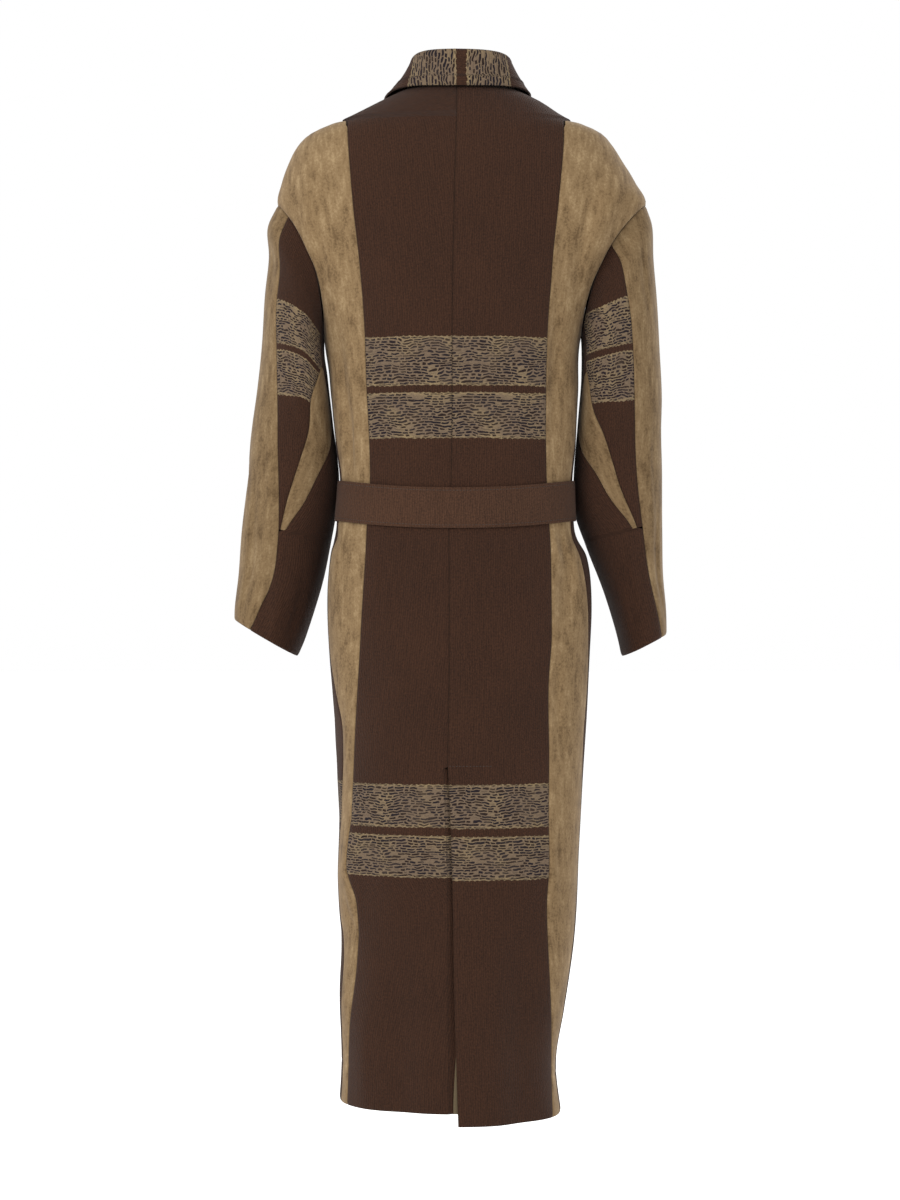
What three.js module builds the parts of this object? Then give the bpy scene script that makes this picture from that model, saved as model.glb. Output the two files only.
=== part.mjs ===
// A long belted coat of dark wool and tan suede, in its worn hollow form.
// Millimetres, +Z up. The front faces -Y and the wearer's left is +X.
// The origin is at the wearer's shoulders, in the middle of the neck opening.
import * as THREE from 'three';

// Cloth
const WOOL = 2.2;
const SUEDE = 1.6;
const FACING = 1.0;
const SEAM_GAP = 0.3;

// Heights of the main levels
const NECK_Z = 22;
const YOKE_Z = -13;
const YOKE_RUN = 9;
const YOKE_EASE = 0.016;
const ARMHOLE_TOP = -118;
const ARMHOLE_BOTTOM = -278;
const VENT_Z = -797;
const HEM_Z = -1210;

// How much higher the hem hangs on each side
const HANG = { left: 6, right: -9 };

// Squareness of the rings: 2 is an ellipse, more is boxier
const BODY_POWER = 2.25;
const SLEEVE_POWER = 2.1;

// Small steps over which a surface's slope is measured, and the least turn of a ring for one radian
const BODY_STEP = { angle: 0.004, height: 0.4 };
const SLEEVE_STEP = { angle: 0.01, ring: 0.05 };
const NECK_STEP = 0.02;
const SLOWEST = 20;
const TINY = 0.01;

// Body sections: reach to each side, to the back and to the front
const BODY = [
  { z: 22, left: 62, right: 74, back: 60, front: 56 },
  { z: 8, left: 91, right: 104, back: 72, front: 66 },
  { z: -13, left: 133, right: 137, back: 85, front: 78 },
  { z: -30, left: 173, right: 177, back: 93, front: 87 },
  { z: -45, left: 190, right: 192, back: 98, front: 93 },
  { z: -66, left: 202, right: 205, back: 104, front: 99 },
  { z: -90, left: 211, right: 219, back: 109, front: 106 },
  { z: -118, left: 216, right: 232, back: 113, front: 112 },
  { z: -200, left: 186, right: 186, back: 118, front: 125 },
  { z: -278, left: 159, right: 153, back: 114, front: 127 },
  { z: -350, left: 151, right: 150, back: 104, front: 117 },
  { z: -410, left: 145, right: 147, back: 97, front: 107 },
  { z: -455, left: 140, right: 143, back: 93, front: 101 },
  { z: -510, left: 145, right: 146, back: 96, front: 103 },
  { z: -522, left: 147, right: 149, back: 99, front: 105 },
  { z: -545, left: 152, right: 161, back: 108, front: 110 },
  { z: -590, left: 156, right: 166, back: 118, front: 116 },
  { z: -660, left: 153, right: 165, back: 124, front: 120 },
  { z: -760, left: 146, right: 159, back: 124, front: 119 },
  { z: -900, left: 140, right: 151, back: 120, front: 117 },
  { z: -1010, left: 139, right: 146, back: 120, front: 118 },
  { z: -1095, left: 140, right: 133, back: 123, front: 120 },
  { z: -1160, left: 139, right: 124, back: 125, front: 121 },
  { z: -1230, left: 142, right: 130, back: 127, front: 123 },
];

// Seams on the back: where the wool ends at each side, and the seam at the centre
const BACK_SEAMS = [
  { z: -13, left: 130, centre: -2, right: 131 },
  { z: -54, left: 128, centre: -1, right: 130 },
  { z: -124, left: 122, centre: 1, right: 123 },
  { z: -200, left: 114, centre: 2.5, right: 116 },
  { z: -280, left: 108, centre: 3.5, right: 112 },
  { z: -350, left: 106, centre: 3.5, right: 110 },
  { z: -455, left: 102, centre: 4.5, right: 110 },
  { z: -510, left: 106, centre: 7, right: 113 },
  { z: -560, left: 108, centre: 7, right: 115 },
  { z: -640, left: 113, centre: 7, right: 115 },
  { z: -700, left: 117, centre: 7, right: 112 },
  { z: -800, left: 122, centre: 9, right: 112 },
  { z: -915, left: 125, centre: 9, right: 112 },
  { z: -960, left: 116, centre: 9, right: 110 },
  { z: -1030, left: 118, centre: 9, right: 113 },
  { z: -1110, left: 127, centre: 9, right: 117 },
  { z: -1220, left: 131, centre: 9, right: 119 },
];

// Free edge of the vent's upper flap
const FLAP_EDGE = [
  { z: -797, x: 8.7 },
  { z: -830, x: 7 },
  { z: -930, x: 3.5 },
  { z: -1077, x: 1 },
  { z: -1220, x: -3.5 },
];
const VENT_STRIP = [
  { z: -797, shows: 4.5 },
  { z: -1000, shows: 6 },
  { z: -1220, shows: 10 },
];
const UNDERLAP_END = -38;
const UNDERLAP_DEPTH = 4.5;
const UNDERLAP_STEP = 3.5;
const FACING_TOP = -1100;
const FACING_SHARES = [0.02, 0.45];

// Free edge of each front: how far it reaches past the centre
const FRONT_EDGE = [
  { z: 22, past: -58 },
  { z: -20, past: -57 },
  { z: -80, past: -44 },
  { z: -140, past: -25 },
  { z: -210, past: 0 },
  { z: -300, past: 34 },
  { z: -400, past: 64 },
  { z: -460, past: 76 },
  { z: -700, past: 86 },
  { z: -1220, past: 92 },
];
const WRAP_TOP = -140;
const WRAP_DEPTH = 4.4;
const WRAP_EDGE = 3;
const WRAP_RAMP = 26;

// Side seams: how far behind the middle of the side each lies
const SIDE_SEAMS = {
  left: [
    { z: -278, behind: 0 },
    { z: -350, behind: 12 },
    { z: -455, behind: 22 },
    { z: -510, behind: 22 },
    { z: -600, behind: 16 },
    { z: -660, behind: 20 },
    { z: -705, behind: 38 },
    { z: -750, behind: 50 },
    { z: -815, behind: 44 },
    { z: -900, behind: 24 },
    { z: -950, behind: 22 },
    { z: -1040, behind: 38 },
    { z: -1110, behind: 30 },
    { z: -1220, behind: 30 },
  ],
  right: [
    { z: -278, behind: 0 },
    { z: -350, behind: 12 },
    { z: -455, behind: 22 },
    { z: -510, behind: 30 },
    { z: -545, behind: 42 },
    { z: -620, behind: 36 },
    { z: -690, behind: 26 },
    { z: -760, behind: 32 },
    { z: -840, behind: 20 },
    { z: -930, behind: 20 },
    { z: -1040, behind: 28 },
    { z: -1220, behind: 22 },
  ],
};

// Armhole: a tilted loop, pulled in towards the body at its middle
const ARMHOLE = {
  left: { topX: 216, bottomX: 159 },
  right: { topX: 232, bottomX: 153 },
  pull: 17,
};

// Sleeve sections: the outer and the inner end of each ring, its half depth and its lean forward
const SLEEVES = {
  left: [
    { outerX: 216, outerZ: -118, innerX: 159, innerZ: -278, depth: 62, forward: 0, pull: 17 },
    { outerX: 228, outerZ: -145, innerX: 159.8, innerZ: -300, depth: 65, forward: 0, pull: 12 },
    { outerX: 227, outerZ: -180, innerX: 155.6, innerZ: -325, depth: 67, forward: 1, pull: 6 },
    { outerX: 232, outerZ: -225, innerX: 152.6, innerZ: -352, depth: 68, forward: 6, pull: 2 },
    { outerX: 236, outerZ: -280, innerX: 149, innerZ: -385, depth: 67, forward: 15, pull: 0 },
    { outerX: 243, outerZ: -340, innerX: 144.2, innerZ: -420, depth: 65, forward: 23, pull: 0 },
    { outerX: 251, outerZ: -400, innerX: 142.6, innerZ: -455, depth: 63, forward: 29, pull: 0 },
    { outerX: 256, outerZ: -455, innerX: 146.2, innerZ: -492, depth: 62, forward: 34, pull: 0 },
    { outerX: 262, outerZ: -510, innerX: 154, innerZ: -532, depth: 61, forward: 38, pull: 0 },
    { outerX: 266, outerZ: -560, innerX: 165, innerZ: -583, depth: 59, forward: 41, pull: 0 },
    { outerX: 271, outerZ: -600, innerX: 182, innerZ: -638, depth: 57, forward: 43, pull: 0 },
    { outerX: 272, outerZ: -622, innerX: 194, innerZ: -667, depth: 56, forward: 44, pull: 0 },
  ],
  right: [
    { outerX: 232, outerZ: -118, innerX: 153, innerZ: -278, depth: 62, forward: 0, pull: 17 },
    { outerX: 240, outerZ: -143, innerX: 155, innerZ: -300, depth: 65, forward: 0, pull: 12 },
    { outerX: 242, outerZ: -180, innerX: 154.2, innerZ: -325, depth: 67, forward: 1, pull: 6 },
    { outerX: 246, outerZ: -225, innerX: 152.6, innerZ: -352, depth: 68, forward: 6, pull: 2 },
    { outerX: 250, outerZ: -280, innerX: 150, innerZ: -385, depth: 67, forward: 15, pull: 0 },
    { outerX: 254, outerZ: -340, innerX: 147, innerZ: -420, depth: 65, forward: 23, pull: 0 },
    { outerX: 254, outerZ: -400, innerX: 146, innerZ: -455, depth: 63, forward: 29, pull: 0 },
    { outerX: 255, outerZ: -455, innerX: 147.6, innerZ: -492, depth: 62, forward: 34, pull: 0 },
    { outerX: 255, outerZ: -510, innerX: 162, innerZ: -532, depth: 61, forward: 38, pull: 0 },
    { outerX: 256, outerZ: -560, innerX: 182, innerZ: -583, depth: 59, forward: 41, pull: 0 },
    { outerX: 260, outerZ: -605, innerX: 199, innerZ: -638, depth: 57, forward: 43, pull: 0 },
    { outerX: 261, outerZ: -640, innerX: 206, innerZ: -667, depth: 56, forward: 44, pull: 0 },
  ],
};
const LAST_RING = 11;
const SLEEVE_RADIUS = 55;
const SLEEVE_SEAM_GAP = 0.4;
const ARMHOLE_GAP = 0.65;

// Seams round each sleeve, in degrees from its outer line towards the back, at each ring
const SLEEVE_SEAMS = {
  left: [
    { ring: 0, strip: 42, back: 142, leafStart: 142, leafEnd: 142 },
    { ring: 1, strip: 46, back: 144, leafStart: 144, leafEnd: 144 },
    { ring: 2, strip: 50, back: 145, leafStart: 144, leafEnd: 148 },
    { ring: 3, strip: 53, back: 145, leafStart: 131, leafEnd: 165 },
    { ring: 4, strip: 59, back: 145, leafStart: 115, leafEnd: 165 },
    { ring: 5, strip: 66, back: 145, leafStart: 109, leafEnd: 148 },
    { ring: 6, strip: 72, back: 145, leafStart: 98, leafEnd: 126 },
    { ring: 7, strip: 78, back: 145, leafStart: 89, leafEnd: 109 },
    { ring: 8, strip: 84, back: 145, leafStart: 85, leafEnd: 89 },
    { ring: 9, strip: 84, back: 145, leafStart: 84, leafEnd: 84 },
    { ring: 10, strip: 74, back: 145, leafStart: 74, leafEnd: 74 },
    { ring: 11, strip: 65, back: 145, leafStart: 65, leafEnd: 65 },
  ],
  right: [
    { ring: 0, strip: 76, back: 148, leafStart: 148, leafEnd: 148 },
    { ring: 1, strip: 75, back: 150, leafStart: 150, leafEnd: 150 },
    { ring: 2, strip: 74, back: 152, leafStart: 151, leafEnd: 155 },
    { ring: 3, strip: 73, back: 152, leafStart: 142, leafEnd: 172 },
    { ring: 4, strip: 73, back: 152, leafStart: 131, leafEnd: 172 },
    { ring: 5, strip: 73, back: 152, leafStart: 113, leafEnd: 152 },
    { ring: 6, strip: 71, back: 152, leafStart: 99, leafEnd: 124 },
    { ring: 7, strip: 68, back: 152, leafStart: 87, leafEnd: 102 },
    { ring: 8, strip: 65, back: 152, leafStart: 72, leafEnd: 78 },
    { ring: 9, strip: 63, back: 152, leafStart: 63, leafEnd: 63 },
    { ring: 10, strip: 56, back: 152, leafStart: 56, leafEnd: 56 },
    { ring: 11, strip: 44, back: 152, leafStart: 44, leafEnd: 44 },
  ],
};
const STRIP_FRONT = -30;
const LEAF_TOP = 2.25;
const LEAF_BOTTOM = 7.85;

// Largest folds of the body: a soft ridge or trough along a line from top to bottom
const FOLDS = [
  { face: 'back', topX: 176, topZ: -60, bottomX: 170, bottomZ: -200, width: 13, height: 5 },
  { face: 'back', topX: 141, topZ: -262, bottomX: 127, bottomZ: -452, width: 6.5, height: -5 },
  { face: 'back', topX: -196, topZ: -70, bottomX: -160, bottomZ: -215, width: 14, height: 6 },
  { face: 'back', topX: -122, topZ: -215, bottomX: -122, bottomZ: -430, width: 10, height: -6 },
  { face: 'back', topX: -140, topZ: -520, bottomX: -128, bottomZ: -640, width: 12, height: -5 },
  { face: 'back', topX: 125, topZ: -860, bottomX: 128, bottomZ: -1000, width: 14, height: 7 },
  { face: 'back', topX: 70, topZ: -960, bottomX: 66, bottomZ: -1260, width: 26, height: -7 },
  { face: 'back', topX: -78, topZ: -900, bottomX: -84, bottomZ: -1260, width: 26, height: -8 },
  { face: 'front', topX: 100, topZ: -900, bottomX: 112, bottomZ: -1260, width: 24, height: -8 },
  { face: 'front', topX: -96, topZ: -880, bottomX: -104, bottomZ: -1260, width: 24, height: -8 },
  { face: 'front', topX: 122, topZ: -520, bottomX: 100, bottomZ: -660, width: 16, height: -5 },
  { face: 'front', topX: -124, topZ: -520, bottomX: -104, bottomZ: -650, width: 15, height: -5 },
  { face: 'front', topX: 110, topZ: -300, bottomX: 104, bottomZ: -440, width: 15, height: -5 },
  { face: 'front', topX: -108, topZ: -290, bottomX: -102, bottomZ: -440, width: 15, height: -5 },
];

// Belt
const BELT = { height: 49, sideTop: -453, backDip: 11, clear: 0.8, overlap: 0.75, lift: 3.4, ramp: 0.3 };
const BELT_START = -1.95;

// Collar sections from the back of the neck round to the end of the lapel
const COLLAR = [
  { at: 0, inset: 1.8, stand: 36, lean: 3, fall: 9, lift: 4.5, upright: 1 },
  { at: 0.11, inset: 1.8, stand: 35, lean: 2, fall: 10, lift: 4.5, upright: 1 },
  { at: 0.19, inset: 1.8, stand: 31, lean: 9, fall: 13, lift: 4.5, upright: 1 },
  { at: 0.27, inset: 2.8, stand: 24, lean: 16, fall: 21, lift: 5, upright: 0.95 },
  { at: 0.36, inset: 7, stand: 17, lean: 10, fall: 34, lift: 5.5, upright: 0.7 },
  { at: 0.48, inset: 2.6, stand: 13, lean: 3, fall: 50, lift: 6, upright: 0.35 },
  { at: 0.65, inset: 1.8, stand: 9, lean: 0, fall: 56, lift: 6, upright: 0.05 },
  { at: 0.82, inset: 1.8, stand: 8, lean: 0, fall: 40, lift: 6, upright: 0 },
  { at: 1, inset: 1.8, stand: 6, lean: 0, fall: 12, lift: 5, upright: 0 },
];
const COLLAR_END_Z = -172;
const COLLAR_BACK_SHARE = 0.34;
const COLLAR_ROLL = 4;
const COLLAR_BEND = { lean: 0.5, stand: 0.45 };
const FALL_CLEAR = 0.8;

const WOOL_FINISH = new THREE.MeshStandardMaterial({ color: 0x3a2a20, roughness: 0.92, metalness: 0 });
const BELT_FINISH = new THREE.MeshStandardMaterial({ color: 0x4a3628, roughness: 0.9, metalness: 0 });
const SUEDE_FINISH = new THREE.MeshStandardMaterial({ color: 0x8c7656, roughness: 0.95, metalness: 0 });
const FACING_FINISH = new THREE.MeshStandardMaterial({ color: 0x5c4c2e, roughness: 0.85, metalness: 0 });

// A column of a table at a place between its rows, on a smooth curve through them
function along(rows, key, column, at) {
  const rising = rows[rows.length - 1][key] > rows[0][key];
  let i = 0;
  while (i < rows.length - 2 && (rising ? at > rows[i + 1][key] : at < rows[i + 1][key])) {
    i += 1;
  }
  const before = rows[Math.max(i - 1, 0)];
  const here = rows[i];
  const next = rows[i + 1];
  const after = rows[Math.min(i + 2, rows.length - 1)];
  const span = next[key] - here[key];
  const t = Math.min(Math.max((at - here[key]) / span, 0), 1);
  const slopeHere = i > 0 ? (next[column] - before[column]) / (next[key] - before[key]) * span
    : next[column] - here[column];
  const slopeNext = after !== next ? (after[column] - here[column]) / (after[key] - here[key]) * span
    : next[column] - here[column];
  const t2 = t * t;
  const t3 = t2 * t;
  return here[column] * (2 * t3 - 3 * t2 + 1) + slopeHere * (t3 - 2 * t2 + t)
    + next[column] * (3 * t2 - 2 * t3) + slopeNext * (t3 - t2);
}

function smooth(from, to, value) {
  const t = Math.min(Math.max((value - from) / (to - from), 0), 1);
  return t * t * (3 - 2 * t);
}

function rounded(value, power) {
  return Math.sign(value) * Math.abs(value) ** (2 / power);
}

// Half width of a ring to one side
function reach(side, z) {
  return along(BODY, 'z', side, z);
}

// A point of the armhole seam on the body's rings, by its angle from the shoulder tip down the back
function armholePoint(side, angle) {
  const sign = side === 'left' ? 1 : -1;
  const { topX, bottomX } = ARMHOLE[side];
  const share = (1 - Math.cos(angle)) / 2;
  const dx = bottomX - topX;
  const dz = ARMHOLE_BOTTOM - ARMHOLE_TOP;
  const chord = Math.hypot(dx, dz);
  const pull = ARMHOLE.pull * Math.sin(angle) ** 2;
  const x = topX + dx * share + dz / chord * pull;
  const z = ARMHOLE_TOP + dz * share - dx / chord * pull;
  const face = Math.sin(angle) >= 0 ? 'back' : 'front';
  const inside = Math.max(1 - (x / reach(side, z)) ** BODY_POWER, 0);
  const y = along(BODY, 'z', face, z) * inside ** (1 / BODY_POWER);
  return new THREE.Vector3(sign * x, face === 'back' ? y : -y, z);
}

// The angle at which the armhole seam crosses a height
function armholeAngle(side, z) {
  let low = 0;
  let high = Math.PI;
  for (let step = 0; step < 30; step += 1) {
    const middle = (low + high) / 2;
    if (armholePoint(side, middle).z > z) {
      low = middle;
    } else {
      high = middle;
    }
  }
  return (low + high) / 2;
}

function inArmhole(z) {
  return z < ARMHOLE_TOP - TINY && z > ARMHOLE_BOTTOM + TINY;
}

function foldHeight(face, x, z) {
  let height = 0;
  for (const fold of FOLDS) {
    if (fold.face === face && z < fold.topZ && z > fold.bottomZ) {
      const t = (fold.topZ - z) / (fold.topZ - fold.bottomZ);
      const middle = fold.topX + (fold.bottomX - fold.topX) * t;
      const fade = fold.bottomZ < HEM_Z ? smooth(0, 0.6, t) : Math.sin(Math.PI * t);
      height += fold.height * fade * Math.exp(-(((x - middle) / fold.width) ** 2));
    }
  }
  return height;
}

// A point of the body's outer surface: angle 0 is the left side, a quarter turn is the back
function bodyPoint(angle, z) {
  const side = Math.cos(angle) >= 0 ? 'left' : 'right';
  const face = Math.sin(angle) >= 0 ? 'back' : 'front';
  const halfX = reach(side, z);
  const halfY = along(BODY, 'z', face, z);
  const x = halfX * rounded(Math.cos(angle), BODY_POWER);
  const y = halfY * rounded(Math.sin(angle), BODY_POWER);
  const out = new THREE.Vector3(x / halfX ** 2, y / halfY ** 2, 0).normalize();
  return new THREE.Vector3(x, y, z).addScaledVector(out, foldHeight(face, x, z));
}

// The height at which a row of one side's panels hangs
function hang(side, z) {
  return z + HANG[side] * smooth(VENT_Z, HEM_Z, z);
}

function normalOf(surface, u, v, stepU, stepV) {
  const du = surface(u + stepU, v).sub(surface(u - stepU, v));
  const dv = surface(u, v + stepV).sub(surface(u, v - stepV));
  return du.cross(dv).normalize();
}

function bodyNormal(angle, z) {
  const safe = Math.min(z, NECK_Z - 1);
  return normalOf(bodyPoint, angle, safe, BODY_STEP.angle, -BODY_STEP.height).negate();
}

// The angle of a ring at which the back or the front face has a given x
function angleAt(face, x, z) {
  const side = x >= 0 ? 'left' : 'right';
  const share = Math.min(Math.abs(x) / reach(side, z), 1);
  const angle = Math.acos(share ** (BODY_POWER / 2));
  const fromLeft = side === 'left' ? angle : Math.PI - angle;
  return face === 'back' ? fromLeft : -fromLeft;
}

// The angle of the outer edge of a back or front panel: shoulder seam, armhole, then side seam
function outerEdge(side, face, z) {
  if (inArmhole(z)) {
    return angleAt(face, armholePoint(side, armholeAngle(side, z)).x, z);
  }
  let behind = 0;
  if (z < ARMHOLE_BOTTOM) {
    behind = along(SIDE_SEAMS[side], 'z', 'behind', z) / along(BODY, 'z', 'back', z);
  }
  const angle = Math.asin(behind ** (BODY_POWER / 2));
  if (side === 'left') {
    return angle;
  }
  return face === 'back' ? Math.PI - angle : -Math.PI - angle;
}

// A closed wall from grids of outer and inner points, with its cells kept where has(i, j) is true
function wallGeometry(outer, inner, has = () => true) {
  const rows = outer.length;
  const columns = outer[0].length;
  const positions = [];
  const used = new Map();
  const index = (layer, i, j) => {
    const key = `${layer},${i},${j}`;
    if (!used.has(key)) {
      const point = (layer === 0 ? outer : inner)[i][j];
      used.set(key, positions.length / 3);
      positions.push(point.x, point.y, point.z);
    }
    return used.get(key);
  };
  const triangles = [];
  const quad = (a, b, c, d) => triangles.push(a, b, c, a, c, d);
  const kept = (i, j) => i >= 0 && j >= 0 && i < rows - 1 && j < columns - 1 && has(i, j);
  for (let i = 0; i < rows - 1; i += 1) {
    for (let j = 0; j < columns - 1; j += 1) {
      if (!kept(i, j)) {
        continue;
      }
      const [a, b, c, d] = [[i, j], [i, j + 1], [i + 1, j + 1], [i + 1, j]];
      quad(index(0, ...a), index(0, ...b), index(0, ...c), index(0, ...d));
      quad(index(1, ...d), index(1, ...c), index(1, ...b), index(1, ...a));
      if (!kept(i - 1, j)) {
        quad(index(0, ...b), index(0, ...a), index(1, ...a), index(1, ...b));
      }
      if (!kept(i + 1, j)) {
        quad(index(0, ...d), index(0, ...c), index(1, ...c), index(1, ...d));
      }
      if (!kept(i, j - 1)) {
        quad(index(0, ...a), index(0, ...d), index(1, ...d), index(1, ...a));
      }
      if (!kept(i, j + 1)) {
        quad(index(0, ...c), index(0, ...b), index(1, ...b), index(1, ...c));
      }
    }
  }
  const geometry = new THREE.BufferGeometry();
  geometry.setAttribute('position', new THREE.Float32BufferAttribute(positions, 3));
  geometry.setIndex(facingOut(positions, triangles));
  geometry.computeVertexNormals();
  return geometry;
}

// The triangles in the order that makes the closed wall's volume positive
function facingOut(positions, triangles) {
  const at = (n) => new THREE.Vector3(positions[3 * n], positions[3 * n + 1], positions[3 * n + 2]);
  let volume = 0;
  for (let t = 0; t < triangles.length; t += 3) {
    volume += at(triangles[t]).dot(at(triangles[t + 1]).cross(at(triangles[t + 2])));
  }
  if (volume > 0) {
    return triangles;
  }
  const turned = [];
  for (let t = 0; t < triangles.length; t += 3) {
    turned.push(triangles[t], triangles[t + 2], triangles[t + 1]);
  }
  return turned;
}

function piece(name, geometry, finish) {
  const mesh = new THREE.Mesh(geometry, finish);
  mesh.name = name;
  return mesh;
}

// Heights of the rows of every body panel
function bodyRows() {
  const rows = [NECK_Z, 10, -2, YOKE_Z, YOKE_Z - 1, -17, YOKE_Z - YOKE_RUN, -32, -45, -66, -90, ARMHOLE_TOP];
  for (let degrees = 15; degrees < 180; degrees += 15) {
    rows.push(armholePoint('left', degrees * Math.PI / 180).z);
  }
  rows.push(ARMHOLE_BOTTOM, -310, -345, -385, -420, -455, -482, -510, -532, -560, -600, -650);
  rows.push(-700, -750, VENT_Z + 4, VENT_Z, -845, -890, -935, -980, -1025, -1065);
  rows.push(FACING_TOP, -1140, -1175, HEM_Z);
  return rows;
}

const ROWS = bodyRows();

// Angles of a ring, evenly apart along its length
function evenAngles(from, to, z, cells) {
  const samples = 12 * cells;
  const lengths = [0];
  let last = bodyPoint(from, z);
  for (let i = 1; i <= samples; i += 1) {
    const next = bodyPoint(from + (to - from) * i / samples, z);
    lengths.push(lengths[i - 1] + next.distanceTo(last));
    last = next;
  }
  const angles = [from];
  let i = 1;
  for (let cell = 1; cell < cells; cell += 1) {
    const wanted = lengths[samples] * cell / cells;
    while (lengths[i] < wanted) {
      i += 1;
    }
    const share = i - 1 + (wanted - lengths[i - 1]) / (lengths[i] - lengths[i - 1]);
    angles.push(from + (to - from) * share / samples);
  }
  angles.push(to);
  return angles;
}

// Points of a body panel between two seams, each moved aside by half of the seam's gap
function bodyPanel({ side, rows, edges, cells, thickness, inward = () => 0 }) {
  const outer = [];
  const inner = [];
  for (const row of rows) {
    const z = hang(side, row);
    const [first, last] = edges(z);
    const shift = (angle, sign) => {
      const after = bodyPoint(angle + BODY_STEP.angle, z);
      const before = bodyPoint(angle - BODY_STEP.angle, z);
      const speed = after.distanceTo(before) / (2 * BODY_STEP.angle);
      return angle + sign * SEAM_GAP / 2 / Math.max(speed, SLOWEST);
    };
    const turn = Math.sign(last - first);
    const from = shift(first, turn);
    const to = shift(last, -turn);
    const outerRow = [];
    const innerRow = [];
    for (const angle of evenAngles(from, to, z, cells)) {
      const normal = bodyNormal(angle, z);
      const point = bodyPoint(angle, z);
      point.addScaledVector(normal, -inward(point, z));
      outerRow.push(point);
      innerRow.push(point.clone().addScaledVector(normal, -thickness));
    }
    outer.push(outerRow);
    inner.push(innerRow);
  }
  return { outer, inner };
}

// The seam between wool and suede starts at the shoulder seam and leaves it over a short run
function backWoolOuter(side, z) {
  const shoulder = outerEdge(side, 'back', Math.max(z, ARMHOLE_TOP));
  if (z >= YOKE_Z) {
    return shoulder;
  }
  const sign = side === 'left' ? 1 : -1;
  const seam = angleAt('back', sign * along(BACK_SEAMS, 'z', side, z), z);
  const run = Math.min((YOKE_Z - z) / YOKE_RUN, 1);
  return shoulder + (seam - shoulder) * run;
}

function centreSeam(z) {
  return angleAt('back', along(BACK_SEAMS, 'z', 'centre', Math.max(z, VENT_Z)), z);
}

function flapEdge(z) {
  return along(FLAP_EDGE, 'z', 'x', z);
}

function backRightWool() {
  const edges = (z) => [
    z > VENT_Z + 1 ? centreSeam(z) : angleAt('back', flapEdge(z), z),
    backWoolOuter('right', z),
  ];
  const grid = bodyPanel({ side: 'right', rows: ROWS, edges, cells: 5, thickness: WOOL });
  return piece('back_right_wool', wallGeometry(grid.outer, grid.inner), WOOL_FINISH);
}

function underlapX(z, share) {
  const crease = flapEdge(z) + along(VENT_STRIP, 'z', 'shows', z);
  const under = crease - UNDERLAP_STEP;
  return under + (UNDERLAP_END - under) * share;
}

// The left back with the underlap of the vent, which steps in behind the flap
function backLeftWool() {
  const edges = (z) => [
    backWoolOuter('left', z),
    z > VENT_Z + 1 ? centreSeam(z)
      : angleAt('back', flapEdge(z) + along(VENT_STRIP, 'z', 'shows', z), z),
  ];
  const mainCells = 5;
  const laid = { side: 'left', rows: ROWS, edges, cells: mainCells, thickness: WOOL };
  const { outer, inner } = bodyPanel(laid);
  ROWS.forEach((z, i) => {
    for (const share of [0, 0.5, 1]) {
      const level = Math.min(hang('left', z), VENT_Z);
      const angle = angleAt('back', underlapX(level, share), level);
      const normal = bodyNormal(angle, level);
      const point = bodyPoint(angle, level).addScaledVector(normal, -UNDERLAP_DEPTH);
      outer[i].push(point);
      inner[i].push(point.clone().addScaledVector(normal, -WOOL));
    }
  });
  const has = (i, j) => j < mainCells || ROWS[i] < VENT_Z + 1;
  return piece('back_left_wool', wallGeometry(outer, inner, has), WOOL_FINISH);
}

// The facing that shows in the lower part of the vent, on the underlap's points
function ventFacing() {
  const outer = [];
  const inner = [];
  for (const row of ROWS.filter((level) => level < FACING_TOP + 1)) {
    const z = hang('left', row);
    const outerRow = [];
    const innerRow = [];
    for (const share of FACING_SHARES) {
      const angle = angleAt('back', underlapX(z, share), z);
      const normal = bodyNormal(angle, z);
      const base = bodyPoint(angle, z).addScaledVector(normal, -UNDERLAP_DEPTH + SEAM_GAP);
      innerRow.push(base);
      outerRow.push(base.clone().addScaledVector(normal, FACING));
    }
    outer.push(outerRow);
    inner.push(innerRow);
  }
  return piece('vent_facing', wallGeometry(outer, inner), FACING_FINISH);
}

function backSuede(side) {
  const turn = side === 'left' ? -1 : 1;
  const edges = (z) => {
    const ease = z > YOKE_Z - 2 * YOKE_RUN ? turn * YOKE_EASE : 0;
    return [backWoolOuter(side, z) + ease, outerEdge(side, 'back', z)];
  };
  const rows = ROWS.filter((z) => z < YOKE_Z);
  const grid = bodyPanel({ side, rows, edges, cells: 3, thickness: SUEDE });
  return piece(`back_${side}_suede`, wallGeometry(grid.outer, grid.inner), SUEDE_FINISH);
}

function frontEdge(side, z) {
  const past = along(FRONT_EDGE, 'z', 'past', z);
  return side === 'left' ? -past : past;
}

// A front panel from its outer edge to its free edge; the left one steps in where it wraps under
function frontWool(side) {
  const edges = (z) => [outerEdge(side, 'front', z), angleAt('front', frontEdge(side, z), z)];
  const inward = (point, z) => {
    if (side === 'right' || z > WRAP_TOP) {
      return 0;
    }
    const beyond = point.x - frontEdge('right', z);
    return WRAP_DEPTH * (1 - smooth(WRAP_EDGE, WRAP_EDGE + WRAP_RAMP, beyond));
  };
  const grid = bodyPanel({ side, rows: ROWS, edges, cells: 10, thickness: WOOL, inward });
  return piece(`front_${side}_wool`, wallGeometry(grid.outer, grid.inner), WOOL_FINISH);
}

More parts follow.
